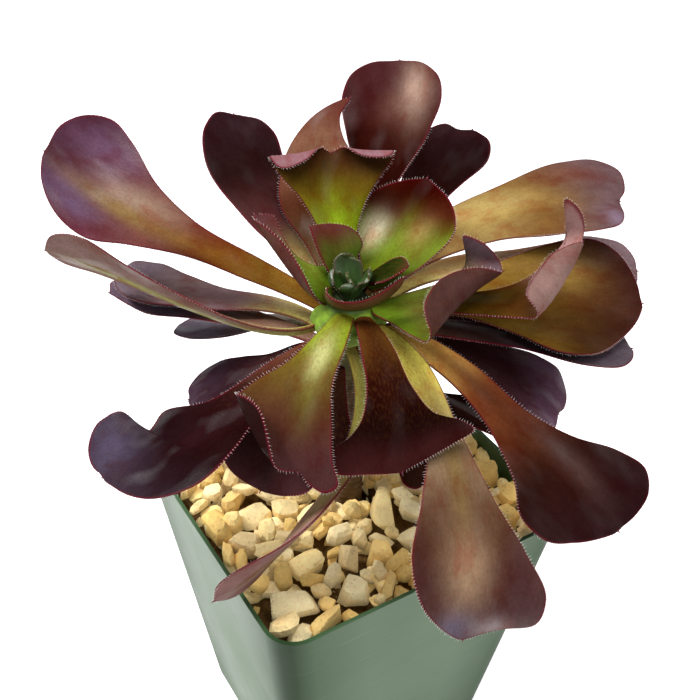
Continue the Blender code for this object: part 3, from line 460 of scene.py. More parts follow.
def curl_lobes(leaf, length, forward, aside):
    """Wrap each tip lobe up and over a round fold that runs slantwise back from the tip and bows in.

    A lobe is flat up to its fold line, follows a circle through the curl's angle, and is flat again.
    Returns the new distances forward and aside, the lift, the turn, and which way the fold faces.
    """
    lift, turn = np.zeros_like(forward), np.zeros_like(forward)
    facing_forward, facing_aside = np.ones_like(forward), np.zeros_like(forward)
    new_forward, new_aside = forward, aside
    for sign, (slant, bow, angle) in ((1, leaf["left_curl"]), (-1, leaf["right_curl"])):
        slant, angle = math.radians(slant), math.radians(angle)
        ahead, outward = math.cos(slant), sign * math.sin(slant)
        bowed = bow * (1.0 - np.exp(-np.abs(aside) / BOW_REACH))
        beyond = (forward - length) * ahead + aside * outward + bowed
        folded = (beyond > 0.0) & (aside * sign >= 0.0) & (angle > 0.0)
        wrapped = np.clip(beyond / CURL_RADIUS, 0.0, angle)
        rest = np.maximum(beyond - CURL_RADIUS * angle, 0.0)
        shift = CURL_RADIUS * np.sin(wrapped) + rest * math.cos(angle) - beyond
        new_forward = np.where(folded, forward + shift * ahead, new_forward)
        new_aside = np.where(folded, aside + shift * outward, new_aside)
        lift = np.where(folded, CURL_RADIUS * (1.0 - np.cos(wrapped)) + rest * math.sin(angle), lift)
        turn = np.where(folded, wrapped, turn)
        facing_forward = np.where(folded, ahead, facing_forward)
        facing_aside = np.where(folded, outward, facing_aside)
    return new_forward, new_aside, lift, turn, facing_forward, facing_aside


def leaf_sheet(leaf, rows, v):
    """Middle sheet of a leaf: points, upward normals, thickness and flat place, a row for each station.

    A row runs from the midrib to both edges. Rows spread evenly along each edge and meet at the tip.
    """
    length, cup = leaf_length(leaf), leaf["cup"] / CUP_WIDTH ** 2
    row = np.linspace(0.0, 1.0, rows)[:, None]
    v = np.asarray(v)[None, :]
    left, right = leaf_edge(leaf, "left", rows), leaf_edge(leaf, "right", rows)
    edge = np.where(v[..., None] > 0.0, left[:, None, :], right[:, None, :])
    middle = row * (1.15 - 0.15 * row) * length
    flat_forward = middle + (edge[..., 0] - middle) * np.abs(v) ** 1.3
    flat_aside = edge[..., 1] * v
    height, slope = cup * flat_aside ** 2, np.arctan(2.0 * cup * flat_aside)
    forward, aside, lift, turn, facing_forward, facing_aside = curl_lobes(
        leaf, length, flat_forward, flat_aside)
    place, along, across, above = midrib(leaf, forward / length)
    points = place + across * aside[..., None] + above * (height + lift)[..., None]
    facing = along * facing_forward[..., None] + across * facing_aside[..., None]
    folded = above * np.cos(turn)[..., None] - facing * np.sin(turn)[..., None]
    normal = unit(folded * np.cos(slope)[..., None] - across * np.sin(slope)[..., None])
    thickness = (1.0 - EDGE_THINNING * v ** 2) * (1.0 - TIP_THINNING * row)
    thickness = thickness * (1.0 - END_THINNING * ease(0.9, 1.0, row))
    return points, normal, thickness, flat_forward, flat_aside, edge[..., 1]


def leaf_tint(leaf, station, aside, rim, upper):
    """Colour over a leaf: neck to tip in four steps, a band on the midrib, soft spots that are partly the
    leaf's own colour and partly painted sheen highlights, and a wine rim.

    The underside is one colour with a band like the upper face's.
    """
    length, (neck, low, middle, tip, band, under) = leaf_length(leaf), leaf["colours"]
    station, aside, rim = station[..., None], aside[..., None], rim[..., None]
    colour = neck + (low - neck) * ease(*LOW_BLADE, station)
    colour = colour + (middle - colour) * ease(*MIDDLE_BLADE, station)
    colour = colour + (tip - colour) * ease(*TIP_BLADE, station + 0.004 * np.abs(aside))
    strength = OVER_BAND * np.exp(-(aside / OVER_BAND_WIDTH) ** 2) * (1.0 - ease(0.5, 0.9, station))
    colour = colour + (band - colour) * strength
    # Soft spots: some are the leaf's own colour, and the pale ones are painted sheen highlights.
    for place, away, long, wide, code, amount in leaf["patches"]:
        apart = ((station - place) * length / long) ** 2 + ((aside - away) / wide) ** 2
        colour = colour + (srgb(code) - colour) * amount * np.exp(-apart)
    below = under + (band * 0.9 - under) * UNDER_BAND * np.exp(-(aside / UNDER_BAND_WIDTH) ** 2) * (
        1.0 - ease(0.7, 1.0, station))
    below = below + (neck - below) * 0.6 * (1.0 - ease(0.0, 0.4, station))
    colour = np.where(upper[..., None], colour, below)
    return colour + (CRIMSON - colour) * leaf["rim"] * (1.0 - ease(*RIM_FADE, rim))


def leaf_hairs(leaf, chance):
    """Short spikes along both edges and a red point at the tip: three-sided cones set outward."""
    spikes = []
    size = min(1.0, 0.35 + leaf_length(leaf) / 40.0)
    for sign, side in ((1.0, "left"), (-1.0, "right")):
        marks = leaf_edge(leaf, side, 60)
        count = int(np.linalg.norm(np.diff(marks, axis=0), axis=1).sum() / HAIR_SPACING)
        points, normal, _, _, _, _ = leaf_sheet(leaf, count, [sign * 0.9, sign])
        edge = points[:, 1]
        run = unit(np.gradient(edge, axis=0))
        out = edge - points[:, 0]
        out = unit(out - run * (out * run).sum(-1, keepdims=True))
        lean = chance.uniform(-0.25, 0.55, (count, 1))
        lift = chance.uniform(-0.35, 0.35, (count, 1))
        reach = HAIR_LENGTH * size * chance.uniform(0.6, 1.15, (count, 1))
        way = unit(out + run * lean + normal[:, 1] * lift)
        bare_neck = max(int(count * 0.12), 1)
        spikes.append(np.stack([edge - out * HAIR_ROOT, edge + way * reach])[:, bare_neck:count - 1])
    place, along, _, _ = midrib(leaf, np.array([1.0]))
    spikes.append(np.stack([place - along * POINT_ROOT, place + along * POINT_LENGTH * size]))
    base, tip = np.concatenate(spikes, axis=1)
    is_point = np.arange(len(base))[:, None] == len(base) - 1
    width = np.where(is_point, POINT_WIDTH, HAIR_WIDTH) * size
    way = unit(tip - base)
    side = unit(np.cross(way, np.where(np.abs(way[:, 2:]) < 0.9, [0.0, 0.0, 1.0], [1.0, 0.0, 0.0])))
    other = np.cross(way, side)
    thirds = (0.0, 2.0944, 4.1888)
    corners = [base + width * (side * math.cos(a) + other * math.sin(a)) for a in thirds]
    points = np.stack([*corners, tip], axis=1)
    tint = np.broadcast_to(CRIMSON * 0.5 + HAIR * 0.4, points.shape).copy()
    tint[:, 3] = HAIR
    tint = np.where(is_point[..., None], CRIMSON, tint)
    faces = np.arange(len(base))[:, None, None] * 4 + np.array([[0, 1, 3], [1, 2, 3], [2, 0, 3], [0, 2, 1]])
    return points.reshape(-1, 3), tint.reshape(-1, 3), faces.reshape(-1, 3)


def make_leaf(name, leaf, skin, hair, seed):
    """A closed leaf skin: loops over the upper face and back under it, with rounded edges and its hairs."""
    chance = np.random.default_rng(seed)
    length = leaf_length(leaf)
    angle = np.linspace(-math.pi / 2.0, math.pi / 2.0, HALF_LOOP + 1)
    v = np.sin(angle)
    points, normal, thickness, forward, aside, reach = leaf_sheet(leaf, LEAF_ROWS, v)
    phase = chance.uniform(0.0, 6.28, 3)
    wave = np.sin(forward / WAVE_LENGTH + phase[0] + np.sign(v) * phase[1]) * WAVE_HEIGHT * np.abs(v) ** 3
    wave = wave * ease(0.25, 0.6, forward / length) * (1.0 - ease(0.95, 1.05, forward / length))
    points = points + normal * wave[..., None]
    half = (thickness * LEAF_THICKNESS / 2.0 * np.abs(np.cos(angle)) ** 0.35)[..., None]
    rim = (1.0 - np.abs(v)) * np.maximum(reach, 1.0)

    def around(over, under):
        """Values from edge to edge over the leaf and back under it."""
        return np.concatenate([over, under[:, -2:0:-1]], axis=1)

    def closed(values, tip, foot, hairs):
        """Values of every point: the loops up to the tip, the tip, the foot and the hairs."""
        return np.concatenate([values[:-1].reshape(-1, 3), tip[None], foot[None], hairs])

    ring = around(points + normal * half, points - normal * half)
    upper = around(np.ones_like(forward), np.zeros_like(forward)) > 0.5
    forward, aside, rim = around(forward, forward), around(aside, aside), around(rim, rim)
    tint = leaf_tint(leaf, forward / length, aside, rim, upper)
    grain = np.stack([aside, forward, np.where(upper, 0.0, 40.0)], axis=-1)
    hair_points, hair_tint, hair_faces = leaf_hairs(leaf, chance)
    all_points = closed(ring, points[-1, HALF_LOOP // 2], ring[0].mean(axis=0), hair_points)
    all_tint = closed(tint, tint[-1, 0], tint[0, 0], hair_tint)
    all_grain = closed(grain, grain[-1, 0], grain[0, 0], np.zeros_like(hair_points))
    loops, count = LEAF_ROWS - 1, ring.shape[1]
    tip, foot = loops * count, loops * count + 1
    faces = loop_faces(loops, count)[:, ::-1].tolist()
    faces += fan_faces(tip - count, count, tip, flip=True) + fan_faces(0, count, foot)
    index = np.repeat([0, 1], [len(faces), len(hair_faces)])
    faces += (hair_faces + foot + 1).tolist()
    return new_piece(name + "_skin", all_points, faces, [skin, hair], all_tint, all_grain, index)


# ---- stones

# A broken stone: its random flat faces, the power that joins them, how much all faces lean at random,
# and how far they lie from the middle. Every stone also has six sides, a little askew.
STONE_PLANES, STONE_CRISPNESS, STONE_UNEVEN, STONE_AWAY = 6, 44.0, 0.16, (0.62, 1.0)
SIX_SIDES = np.array([[0.0, 0.0, -1.0], [1.0, 0.0, 0.1], [-1.0, 0.1, 0.0], [0.0, 1.0, 0.2],
                      [0.1, -1.0, 0.0], [0.1, 0.0, 1.0]])

# Points round and steps up a large stone, and the angles from which an edge is sharp, large and small.
STONE_AROUND, STONE_UPRIGHT, STONE_SHARP, FILL_SHARP = 28, 18, 20.0, 14.0

# The small stones: how many are dropped, the shapes they share, points round and steps up each one.
# Then their half sizes from least to most, how much larger each is made than its place so that they
# touch, the places that each one tries, and how high its middle may come to lie. Then the height map's
# cells, its depth under the bed's top, the radius of its corners and of the free round at the stem.
FILL_STONES, FILL_SHAPES, FILL_AROUND, FILL_UPRIGHT = 760, 40, 9, 6
FILL_SIZES, FILL_SWELL, FILL_TRIES, FILL_HIGHEST = (1.5, 4.4), 1.04, 26, 93.5
FILL_CELL, FILL_DEPTH, FILL_CORNER, STEM_FREE = 1.0, 7.0, 7.0, 6.5

# Tones that the stones take in turn or at random, and the large stones that have one of their own.
STONE_TONES = [srgb(code) for code in "fce2a0 f8da92 f4d084 fbe8b4 f2d89c e4ca94 fae4aa eec878".split()]
LARGE_TONES = {
    "stone_front_slab": 3, "stone_front_shard": 2, "stone_front_pyramid": 3, "stone_front_broad": 0,
    "stone_front_golden": 2, "stone_middle_tall": 0, "stone_right_smooth": 2, "stone_right_golden": 7,
    "stone_front_grey": 5, "stone_left_grey": 5,
}


def stone_shape(chance, around, upright):
    """Points of a broken stone of unit half size: the soft smallest distance to random flat faces.

    A direction's share of a face is its part along the face's normal over the face's distance. The
    distance in that direction is the sum of all shares to a high power, to minus one over that power.
    """
    turn = np.linspace(0.0, 2.0 * math.pi, around, endpoint=False)
    climb = np.linspace(0.0, math.pi, upright + 1)[1:-1]
    climb, turn = np.meshgrid(climb, turn, indexing="ij")
    way = np.stack([np.sin(climb) * np.cos(turn), np.sin(climb) * np.sin(turn), -np.cos(climb)], axis=-1)
    way = np.concatenate([way.reshape(-1, 3), [[0.0, 0.0, -1.0], [0.0, 0.0, 1.0]]])
    facing = np.concatenate([unit(chance.normal(size=(STONE_PLANES, 3))), SIX_SIDES])
    facing = unit(facing + chance.normal(scale=STONE_UNEVEN, size=facing.shape))
    away = chance.uniform(*STONE_AWAY, len(facing))
    reach = (np.maximum(way @ facing.T, 0.0) / away) ** STONE_CRISPNESS
    points = way * (reach.sum(axis=1) ** (-1.0 / STONE_CRISPNESS))[:, None]
    return points / np.abs(points).max(axis=0)


def painted_foot_shade(heights, lowest, tall):
    """Painted shade on a stone: brightness from half at its foot to full at its top, an S curve of height.
    """
    return (0.5 + 0.5 * ease(0.1, 0.75, (heights - lowest) / tall))[:, None]


def make_large_stone(name, row, material, number):
    """One of the larger stones: a broken shape, sized, turned and set on the bed."""
    x, y, length, width, height, turn = row
    chance = np.random.default_rng(STONE_SEED + number)
    points = stone_shape(chance, STONE_AROUND, STONE_UPRIGHT) * np.array([length, width, height]) / 2.0
    points = turned(points, math.radians(turn))
    points = points + np.array([x, y, BED_TOP + BED_GAP - points[:, 2].min()])
    tone = STONE_TONES[LARGE_TONES.get(name, number % len(STONE_TONES))]
    # Painted shade: the stone is darker towards its foot.
    tint = tone * painted_foot_shade(points[:, 2], points[:, 2].min(), height)
    faces = closed_faces(STONE_UPRIGHT - 1, STONE_AROUND)
    piece = new_piece(name + "_stone", points, faces, [material], tint)
    piece.data.set_sharp_from_angle(angle=math.radians(STONE_SHARP))
    return piece


def pot_half(height):
    """Half the pot's outer side at a height."""
    return POT_SIDE / 2.0 - POT_TAPER * (POT_HEIGHT - height)


def inside_pot(points):
    """Points drawn in, where they stick out, to the pot's tapered inner wall and its rounded corners."""
    half = pot_half(points[:, 2]) - POT_WALL - WALL_GAP
    side = np.sign(points[:, :2])
    away = np.minimum(np.abs(points[:, :2]), half[:, None])
    core = (half - CORNER_INSIDE)[:, None]
    beyond = np.maximum(away - core, 0.0)
    reach = np.linalg.norm(beyond, axis=1)[:, None]
    beyond = beyond * np.minimum(1.0, CORNER_INSIDE / np.maximum(reach, 1e-6))
    return np.column_stack([side * (np.minimum(away, core) + beyond), points[:, 2]])


def oval(gx, gy, x, y, long, wide, turn):
    """Squared distance from an oval's middle in its own half lengths, so that it is one on the outline."""
    dx, dy = gx - x, gy - y
    c, s = math.cos(turn), math.sin(turn)
    return ((dx * c + dy * s) / long) ** 2 + ((dy * c - dx * s) / wide) ** 2


def lowest_rest(ground, gx, gy, half, places, long, wide, tall, turn):
    """Where a small stone settles lowest of some places: its middle's height, x, y, its foot and bulge.

    A stone is an ellipsoid, so its middle rests at the most that the ground and its bulge add up to.
    """
    best, corner = None, half - FILL_CORNER
    for x, y in places:
        if math.hypot(max(abs(x) - corner, 0.0), max(abs(y) - corner, 0.0)) > FILL_CORNER - wide * 0.8:
            continue
        near = oval(gx, gy, x, y, long, wide, turn)
        foot = near < 0.8
        if not foot.any():
            continue
        bulge = tall * np.sqrt(np.maximum(1.0 - near, 0.0))
        rest = float((ground[foot] + bulge[foot]).max())
        if best is None or rest < best[0]:
            best = (rest, x, y, foot, bulge)
    return best


def make_fill(material):
    """Many small stones dropped one by one onto a height map: each settles where it lies lowest."""
    chance = np.random.default_rng(FILL_SEED)
    half = pot_half(BED_TOP) - POT_WALL - MAP_GAP
    size = int(2 * half / FILL_CELL) + 1
    grid = -half + np.arange(size) * FILL_CELL
    gx, gy = np.meshgrid(grid, grid, indexing="ij")
    ground = np.full((size, size), BED_TOP - FILL_DEPTH)
    for x, y, length, width, height, turn in STONES.values():
        near = oval(gx, gy, x, y, length / 2, width / 2, math.radians(turn))
        ground = np.where(near < 1.0, BED_TOP + height * 0.8, ground)
    ground = np.where(np.hypot(gx, gy) < STEM_FREE, 200.0, ground)
    shapes = [stone_shape(chance, FILL_AROUND, FILL_UPRIGHT) for _ in range(FILL_SHAPES)]
    # Every face has four corners here; the fans' triangles have their last one twice.
    faces = closed_faces(FILL_UPRIGHT - 1, FILL_AROUND)
    faces = np.array([face + face[-1:] * (4 - len(face)) for face in faces])
    all_points, all_tints, all_faces = [], [], []
    for number in range(FILL_STONES):
        reach = chance.uniform(*FILL_SIZES, 2)
        long, wide = max(reach), min(reach)
        tall = wide * chance.uniform(0.75, 1.0)
        turn = chance.uniform(0.0, 6.28)
        places = chance.uniform(-half + wide * 0.9, half - wide * 0.9, (FILL_TRIES, 2))
        best = lowest_rest(ground, gx, gy, half, places, long, wide, tall, turn)
        if best is None or best[0] > FILL_HIGHEST:
            continue
        rest, x, y, foot, bulge = best
        ground[foot] = np.maximum(ground[foot], rest + bulge[foot])
        points = shapes[number % FILL_SHAPES] * np.array([long, wide, tall]) * FILL_SWELL
        points = turned(points, chance.uniform(-0.5, 0.5), 0, 2)
        # Painted shade: each small stone is darker towards its foot.
        shade = painted_foot_shade(points[:, 2], -tall, 2.0 * tall)
        points = inside_pot(turned(points, turn) + np.array([x, y, rest]))
        tone = STONE_TONES[int(chance.integers(len(STONE_TONES)))] * chance.uniform(0.86, 1.1)
        all_faces.append(faces + len(all_points) * len(points))
        all_points.append(points)
        all_tints.append(tone * shade)
    flat = [list(dict.fromkeys(face)) for face in np.concatenate(all_faces).tolist()]
    points, tint = np.concatenate(all_points), np.concatenate(all_tints)
    piece = new_piece("crushed_stone_fill", points, flat, [material], tint)
    piece.data.set_sharp_from_angle(angle=math.radians(FILL_SHARP))
    return piece


# ---- stem

STEM_FOOT, STEM_TOP, STEM_AROUND, STEM_ROWS = 58.2, 153.8, 64, 150

# The swelling under the leaves: how far it stands out, its height and how far it spreads.
CROWN_OUT, CROWN_HEIGHT, CROWN_SPREAD = 5.1, 148.2, 4.4

# The bark's colour, then each colour that follows it up the stem, and the heights where it comes in.
BARK_COLOUR = "7a6248"
STEM_COLOURS = (("6f7040", 125.0, 142.0), ("6e8c22", 142.0, 149.0), ("22340a", 152.2, 153.6))


def make_stem(material):
    """Trunk: a turned column that flares at its foot and swells in a bell curve under the leaves.

    Leaf scars are the product of a left and a right sine spiral, and fine sine rings line the bark.
    """
    heights = np.linspace(STEM_FOOT, STEM_TOP, STEM_ROWS)[:, None]
    turn = np.linspace(0.0, 2.0 * math.pi, STEM_AROUND, endpoint=False)[None, :]
    trunk = 5.0 - 0.7 * ease(132.0, 154.0, heights)
    flare = 2.6 * (1.0 - ease(62.0, 78.0, heights)) - 3.5 * (1.0 - ease(58.0, 66.0, heights))
    scars = np.sin(5.0 * turn + heights * 1.25) * np.sin(3.0 * turn - heights * 1.9)
    crown = CROWN_OUT * np.exp(-((heights - CROWN_HEIGHT) / CROWN_SPREAD) ** 2)
    crown = crown * (1.0 + 0.08 * np.sin(8.0 * turn))
    rings = 0.06 * np.sin(heights * 7.0 + 2.0 * np.sin(4.0 * turn))
    radius = trunk + flare + crown - 0.25 + 0.22 * scars + rings
    points = np.stack(np.broadcast_arrays(radius * np.cos(turn), radius * np.sin(turn), heights), -1)
    tone = srgb(BARK_COLOUR)
    for code, low, high in STEM_COLOURS:
        tone = tone + (srgb(code) - tone) * ease(low, high, heights)[..., None]
    tint = np.broadcast_to(tone, points.shape).reshape(-1, 3) * (0.85 + 0.3 * (scars.reshape(-1, 1) > 0.1))
    flat = np.concatenate([points.reshape(-1, 3), [[0.0, 0.0, STEM_FOOT], [0.0, 0.0, STEM_TOP]]])
    tint = np.concatenate([tint, tint[:1], tint[-1:]])
    faces = closed_faces(STEM_ROWS, STEM_AROUND)
    return new_piece("stem_bark_column", flat, faces, [material], tint)


# ---- materials

class Nodes:
    """A material's nodes: add one, link two, and set the shader's own sockets."""

    def __init__(self, name, **values):
        """A new material whose shader sockets, named in values, each hold one value all over."""
        self.material = bpy.data.materials.new(name)
        self.material.use_nodes = True
        self.tree = self.material.node_tree
        self.shader = self.tree.nodes["Principled BSDF"]
        self.finish(**values)

    def put(self, node, key, value):
        """Give a node's input a value or a link. _0 is its first input, and _ in a name is a space."""
        numbered = key[0] == "_" and key[1:].isdigit()
        socket = node.inputs[int(key[1:]) if numbered else key.replace("_", " ")]
        if isinstance(value, bpy.types.NodeSocket):
            self.tree.links.new(value, socket)
        else:
            socket.default_value = value

    def add(self, kind, settings=None, **inputs):
        """A new node of a kind, with its settings and its inputs."""
        node = self.tree.nodes.new(kind)
        for key, value in (settings or {}).items():
            setattr(node, key, value)
        for key, value in inputs.items():
            self.put(node, key, value)
        return node

    def attribute(self, name, kind):
        """A named attribute of the mesh, read as a Color or a Vector."""
        return self.add("ShaderNodeAttribute", {"attribute_name": name}).outputs[kind]

    def place(self):
        """The surface's own place, in metres."""
        return self.add("ShaderNodeTexCoord").outputs["Object"]

    def math(self, operation, first, second):
        """A sum, product or the like of two numbers."""
        return self.add("ShaderNodeMath", {"operation": operation}, _0=first, _1=second).outputs[0]

    def times(self, first, second):
        """Two numbers multiplied."""
        return self.math("MULTIPLY", first, second)

    def spread(self, value, low, high, to_low=0.0, to_high=1.0):
        """A value between low and high made to run, in a straight line, between two others."""
        node = self.add("ShaderNodeMapRange", None, Value=value, From_Min=low, From_Max=high,
                        To_Min=to_low, To_Max=to_high)
        return node.outputs["Result"]

    def swing(self, noise, to_low, to_high):
        """The middle of a noise's range made to run between two values."""
        return self.spread(noise, 0.3, 0.7, to_low, to_high)

    def stretched(self, vector, x, y, z):
        """A place with each of its axes scaled."""
        return self.add("ShaderNodeMapping", None, Vector=vector, Scale=(x, y, z)).outputs["Vector"]

    def noise(self, vector, scale, detail=3.0, roughness=0.55):
        """Cloudy noise with about so many spots to a unit of the vector."""
        inputs = {"Vector": vector, "Scale": scale, "Detail": detail, "Roughness": roughness}
        return self.add("ShaderNodeTexNoise", None, **inputs).outputs["Fac"]

    def cells(self, vector, scale):
        """Distance from the nearest of scattered points, about so many to a unit of the vector."""
        return self.add("ShaderNodeTexVoronoi", None, Vector=vector, Scale=scale).outputs["Distance"]

    def vector(self, operation, **inputs):
        """The same as math, for three numbers at a time."""
        return self.add("ShaderNodeVectorMath", {"operation": operation}, **inputs).outputs["Vector"]

    def darker(self, colour, factor):
        """A colour times a number."""
        return self.vector("SCALE", _0=colour, Scale=factor)

    def blend(self, factor, first, second):
        """From the first colour at factor zero to the second at one."""
        return self.add("ShaderNodeMix", {"data_type": "RGBA"}, _0=factor, _6=first, _7=second).outputs[2]

    def bump(self, height, strength, distance, normal=None):
        """A raised pattern, on top of another one where that is given."""
        below = {} if normal is None else {"Normal": normal}
        inputs = {"Height": height, "Strength": strength, "Distance": distance, **below}
        return self.add("ShaderNodeBump", None, **inputs).outputs["Normal"]

    def finish(self, **sockets):
        """Give the shader's named sockets their values, and hand back the material."""
        for key, value in sockets.items():
            self.put(self.shader, key, value)
        return self.material


def leaf_material(name, speckle, gloss, shine):
    """Satin leaf skin: streaks and speckles along the blade, soft blotches and a fine cell grain."""
    nodes = Nodes(name)
    tint, grain = nodes.attribute("tint", "Color"), nodes.attribute("grain", "Vector")

    def pattern(across, along, *detail):
        """Noise over the blade, with so many spots to a millimetre across it and along it."""
        return nodes.noise(nodes.stretched(grain, across, along, 1.0), 1.0, *detail)

    streaks, mottle = pattern(1.3, 0.3, 4.0), pattern(1.7, 1.1, 3.0, 0.7)
    freckles, blotch = pattern(2.2, 0.7, 2.0), pattern(0.16, 0.09, 4.0, 0.6)
    shade = nodes.times(nodes.swing(streaks, 0.95, 1.05), nodes.swing(blotch, 0.76, 1.26))
    shade = nodes.times(shade, nodes.swing(mottle, 0.86, 1.14))
    colour = nodes.darker(tint, shade)
    redder = nodes.vector("MULTIPLY", _0=colour, _1=(1.15, 0.72, 0.66))
    colour = nodes.blend(nodes.spread(blotch, 0.5, 0.36, 0.0, 0.65), colour, redder)
    # Orange freckles near the stem, nearly gone from 36 mm out.
    forward = nodes.add("ShaderNodeSeparateXYZ", None, Vector=grain).outputs["Y"]
    spot = nodes.spread(freckles, 0.5, 0.62, 0.0, speckle)
    spot = nodes.times(spot, nodes.spread(forward, 14.0, 36.0, 1.0, 0.05))
    colour = nodes.blend(spot, colour, paint("7a4a22", 0.55))
    sheen = nodes.spread(pattern(0.11, 0.05, 2.0), 0.5, 0.68, 0.0, shine)
    skin = nodes.cells(nodes.stretched(grain, 3.2, 1.8, 1.0), 1.0)
    normal = nodes.bump(skin, 0.12, 0.00012, nodes.bump(mottle, 0.28, 0.0005))
    return nodes.finish(Base_Color=colour, Roughness=nodes.swing(blotch, gloss - 0.05, gloss + 0.09),
                        Specular_IOR_Level=sheen, Normal=normal)


def hair_material():
    """Pale, slightly see-through hairs with red roots."""
    nodes = Nodes("leaf_hairs", Roughness=0.5, Subsurface_Weight=0.2,
                  Subsurface_Radius=(0.001, 0.0006, 0.0005))
    tint, uneven = nodes.attribute("tint", "Color"), nodes.noise(nodes.place(), 900.0)
    return nodes.finish(Base_Color=nodes.darker(tint, nodes.swing(uneven, 0.85, 1.1)))


def stone_material():
    """Crushed stone: chalky, stained unevenly, with pits and a sandy grain."""
    # The stone glows faintly in its own colour: painted light that brightens it and lifts its shade.
    nodes = Nodes("crushed_stone_face", Specular_IOR_Level=0.25, Emission_Strength=0.13)
    tint, place = nodes.attribute("tint", "Color"), nodes.place()
    stain, sand = nodes.noise(place, 190.0, 4.0), nodes.noise(place, 1500.0)
    pits = nodes.cells(place, 620.0)
    shade = nodes.times(nodes.swing(stain, 0.84, 1.12), nodes.swing(sand, 0.9, 1.08))
    colour = nodes.darker(tint, nodes.times(shade, nodes.spread(pits, 0.06, 0.22, 0.72, 1.0)))
    rust = nodes.spread(nodes.noise(place, 95.0, 2.0), 0.56, 0.74, 0.0, 0.4)
    colour = nodes.blend(rust, colour, paint("c8954c"))
    normal = nodes.bump(nodes.spread(pits, 0.0, 0.3), 0.3, 0.0005, nodes.bump(sand, 0.35, 0.0004))
    return nodes.finish(Base_Color=colour, Emission_Color=colour, Roughness=nodes.swing(sand, 0.75, 0.95),
                        Normal=nodes.bump(stain, 0.5, 0.0012, normal))


def grit_material():
    """Sandy stone powder and chips between the stones."""
    nodes = Nodes("stone_grit", Specular_IOR_Level=0.2)
    place = nodes.place()
    chips, powder = nodes.cells(place, 520.0), nodes.noise(place, 700.0, 4.0)
    colour = nodes.blend(powder, paint("46331a"), paint("7a5c32"))
    colour = nodes.darker(colour, nodes.spread(chips, 0.0, 0.5, 0.55, 1.1))
    return nodes.finish(Base_Color=colour, Roughness=nodes.swing(powder, 0.8, 0.95),
                        Normal=nodes.bump(powder, 0.5, 0.0006, nodes.bump(chips, 0.8, 0.0012)))


def pot_material():
    """Green nursery-pot plastic: satin, faintly cloudy, with fine moulding grain and light rub marks.

    Towards the corners its colour is darkened as painted shade, and its reflection is made weaker, by
    the smaller of the distances across, which the taper makes the same all the way down.
    """
    nodes = Nodes("green_pot_plastic")
    place = nodes.place()
    cloud, grit = nodes.noise(place, 26.0, 4.0), nodes.noise(place, 2400.0, 2.0)
    scuff = nodes.noise(nodes.stretched(place, 60.0, 60.0, 900.0), 1.0, 2.0)
    base = nodes.blend(cloud, paint("3a5635"), paint("42603d"))
    away = nodes.add("ShaderNodeSeparateXYZ", None, Vector=nodes.vector("ABSOLUTE", _0=place)).outputs
    nearness = nodes.math("MINIMUM", away["X"], away["Y"])
    nearness = nodes.math("ADD", nearness, nodes.times(away["Z"], -POT_TAPER))
    # Painted shade: darker across each face towards the corners, and darkest on the rounded corners.
    base = nodes.darker(base, nodes.spread(nearness, 0.006, 0.025, 1.0, 0.72))
    base = nodes.darker(base, nodes.spread(nearness, 0.0235, 0.0288, 1.0, 0.5))
    colour = nodes.blend(nodes.spread(scuff, 0.62, 0.8, 0.0, 0.18), base, paint("6f846f"))
    return nodes.finish(Base_Color=colour, Roughness=nodes.swing(cloud, 0.36, 0.48),
                        Specular_IOR_Level=nodes.spread(nearness, 0.008, 0.0285, 0.42, 0.04),
                        Normal=nodes.bump(cloud, 0.15, 0.002, nodes.bump(grit, 0.08, 0.0002)))


def soil_material():
    """Dark crumbly potting mix with pale grains."""
    nodes = Nodes("potting_soil_mix", Specular_IOR_Level=0.2)
    place = nodes.place()
    crumb, grain = nodes.noise(place, 260.0, 5.0), nodes.cells(place, 420.0)
    colour = nodes.blend(crumb, paint("241a12"), paint("4c3a2a"))
    colour = nodes.blend(nodes.spread(grain, 0.05, 0.12, 0.5, 0.0), colour, paint("a39c8c"))
    return nodes.finish(Base_Color=colour, Roughness=nodes.spread(grain, 0.0, 0.5, 0.85, 0.98),
                        Normal=nodes.bump(crumb, 0.9, 0.002))


def bark_material():
    """Woody stem: dry, lined round, greener near the top."""
    nodes = Nodes("stem_bark_skin", Specular_IOR_Level=0.3)
    tint, place = nodes.attribute("tint", "Color"), nodes.place()
    rings = nodes.noise(nodes.stretched(place, 120.0, 120.0, 900.0), 1.0)
    patch = nodes.noise(place, 220.0, 4.0)
    shade = nodes.times(nodes.swing(rings, 0.7, 1.2), nodes.swing(patch, 0.8, 1.2))
    return nodes.finish(Base_Color=nodes.darker(tint, shade), Roughness=nodes.swing(patch, 0.65, 0.85),
                        Normal=nodes.bump(rings, 0.5, 0.0006))


def bud_material():
    """Young leaf tissue: smooth, glossy, finely veined."""
    nodes = Nodes("bud_tissue", Coat_Weight=0.2, Coat_Roughness=0.3)
    tint, place = nodes.attribute("tint", "Color"), nodes.place()
    vein = nodes.noise(nodes.stretched(place, 700.0, 700.0, 160.0), 1.0)
    return nodes.finish(Base_Color=nodes.darker(tint, nodes.swing(vein, 0.8, 1.2)),
                        Roughness=nodes.swing(vein, 0.34, 0.44), Normal=nodes.bump(vein, 0.2, 0.0003))


def floor_material():
    """White paper sweep with the faintest mottle, lit a little from within so that it stays white."""
    nodes = Nodes("white_sweep", Roughness=0.9, Specular_IOR_Level=0.1, Emission_Color=WHITE,
                  Emission_Strength=0.6)
    mottle = nodes.noise(nodes.place(), 3.0, 2.0)
    return nodes.finish(Base_Color=nodes.blend(mottle, (0.90, 0.90, 0.905, 1.0), (0.93, 0.93, 0.93, 1.0)))


# ---- setting

FLOOR_HALF = 30000.0    # millimetres from the pot to the sweep's edges
ROOM_LIGHT = 0.26

# Soft square lights: bearing and height in degrees, distance and side in metres, and power in watts.
# They face a point on the stem's axis, at the lit height in metres.
LIGHTS = {
    "window_left": (145.0, 52.0, 0.9, 0.35, 9.0),
    "overhead": (-60.0, 82.0, 1.0, 0.5, 6.0),
    "front_fill": (-65.0, 45.0, 1.3, 0.7, 4.5),
}
LIT_HEIGHT = 0.12

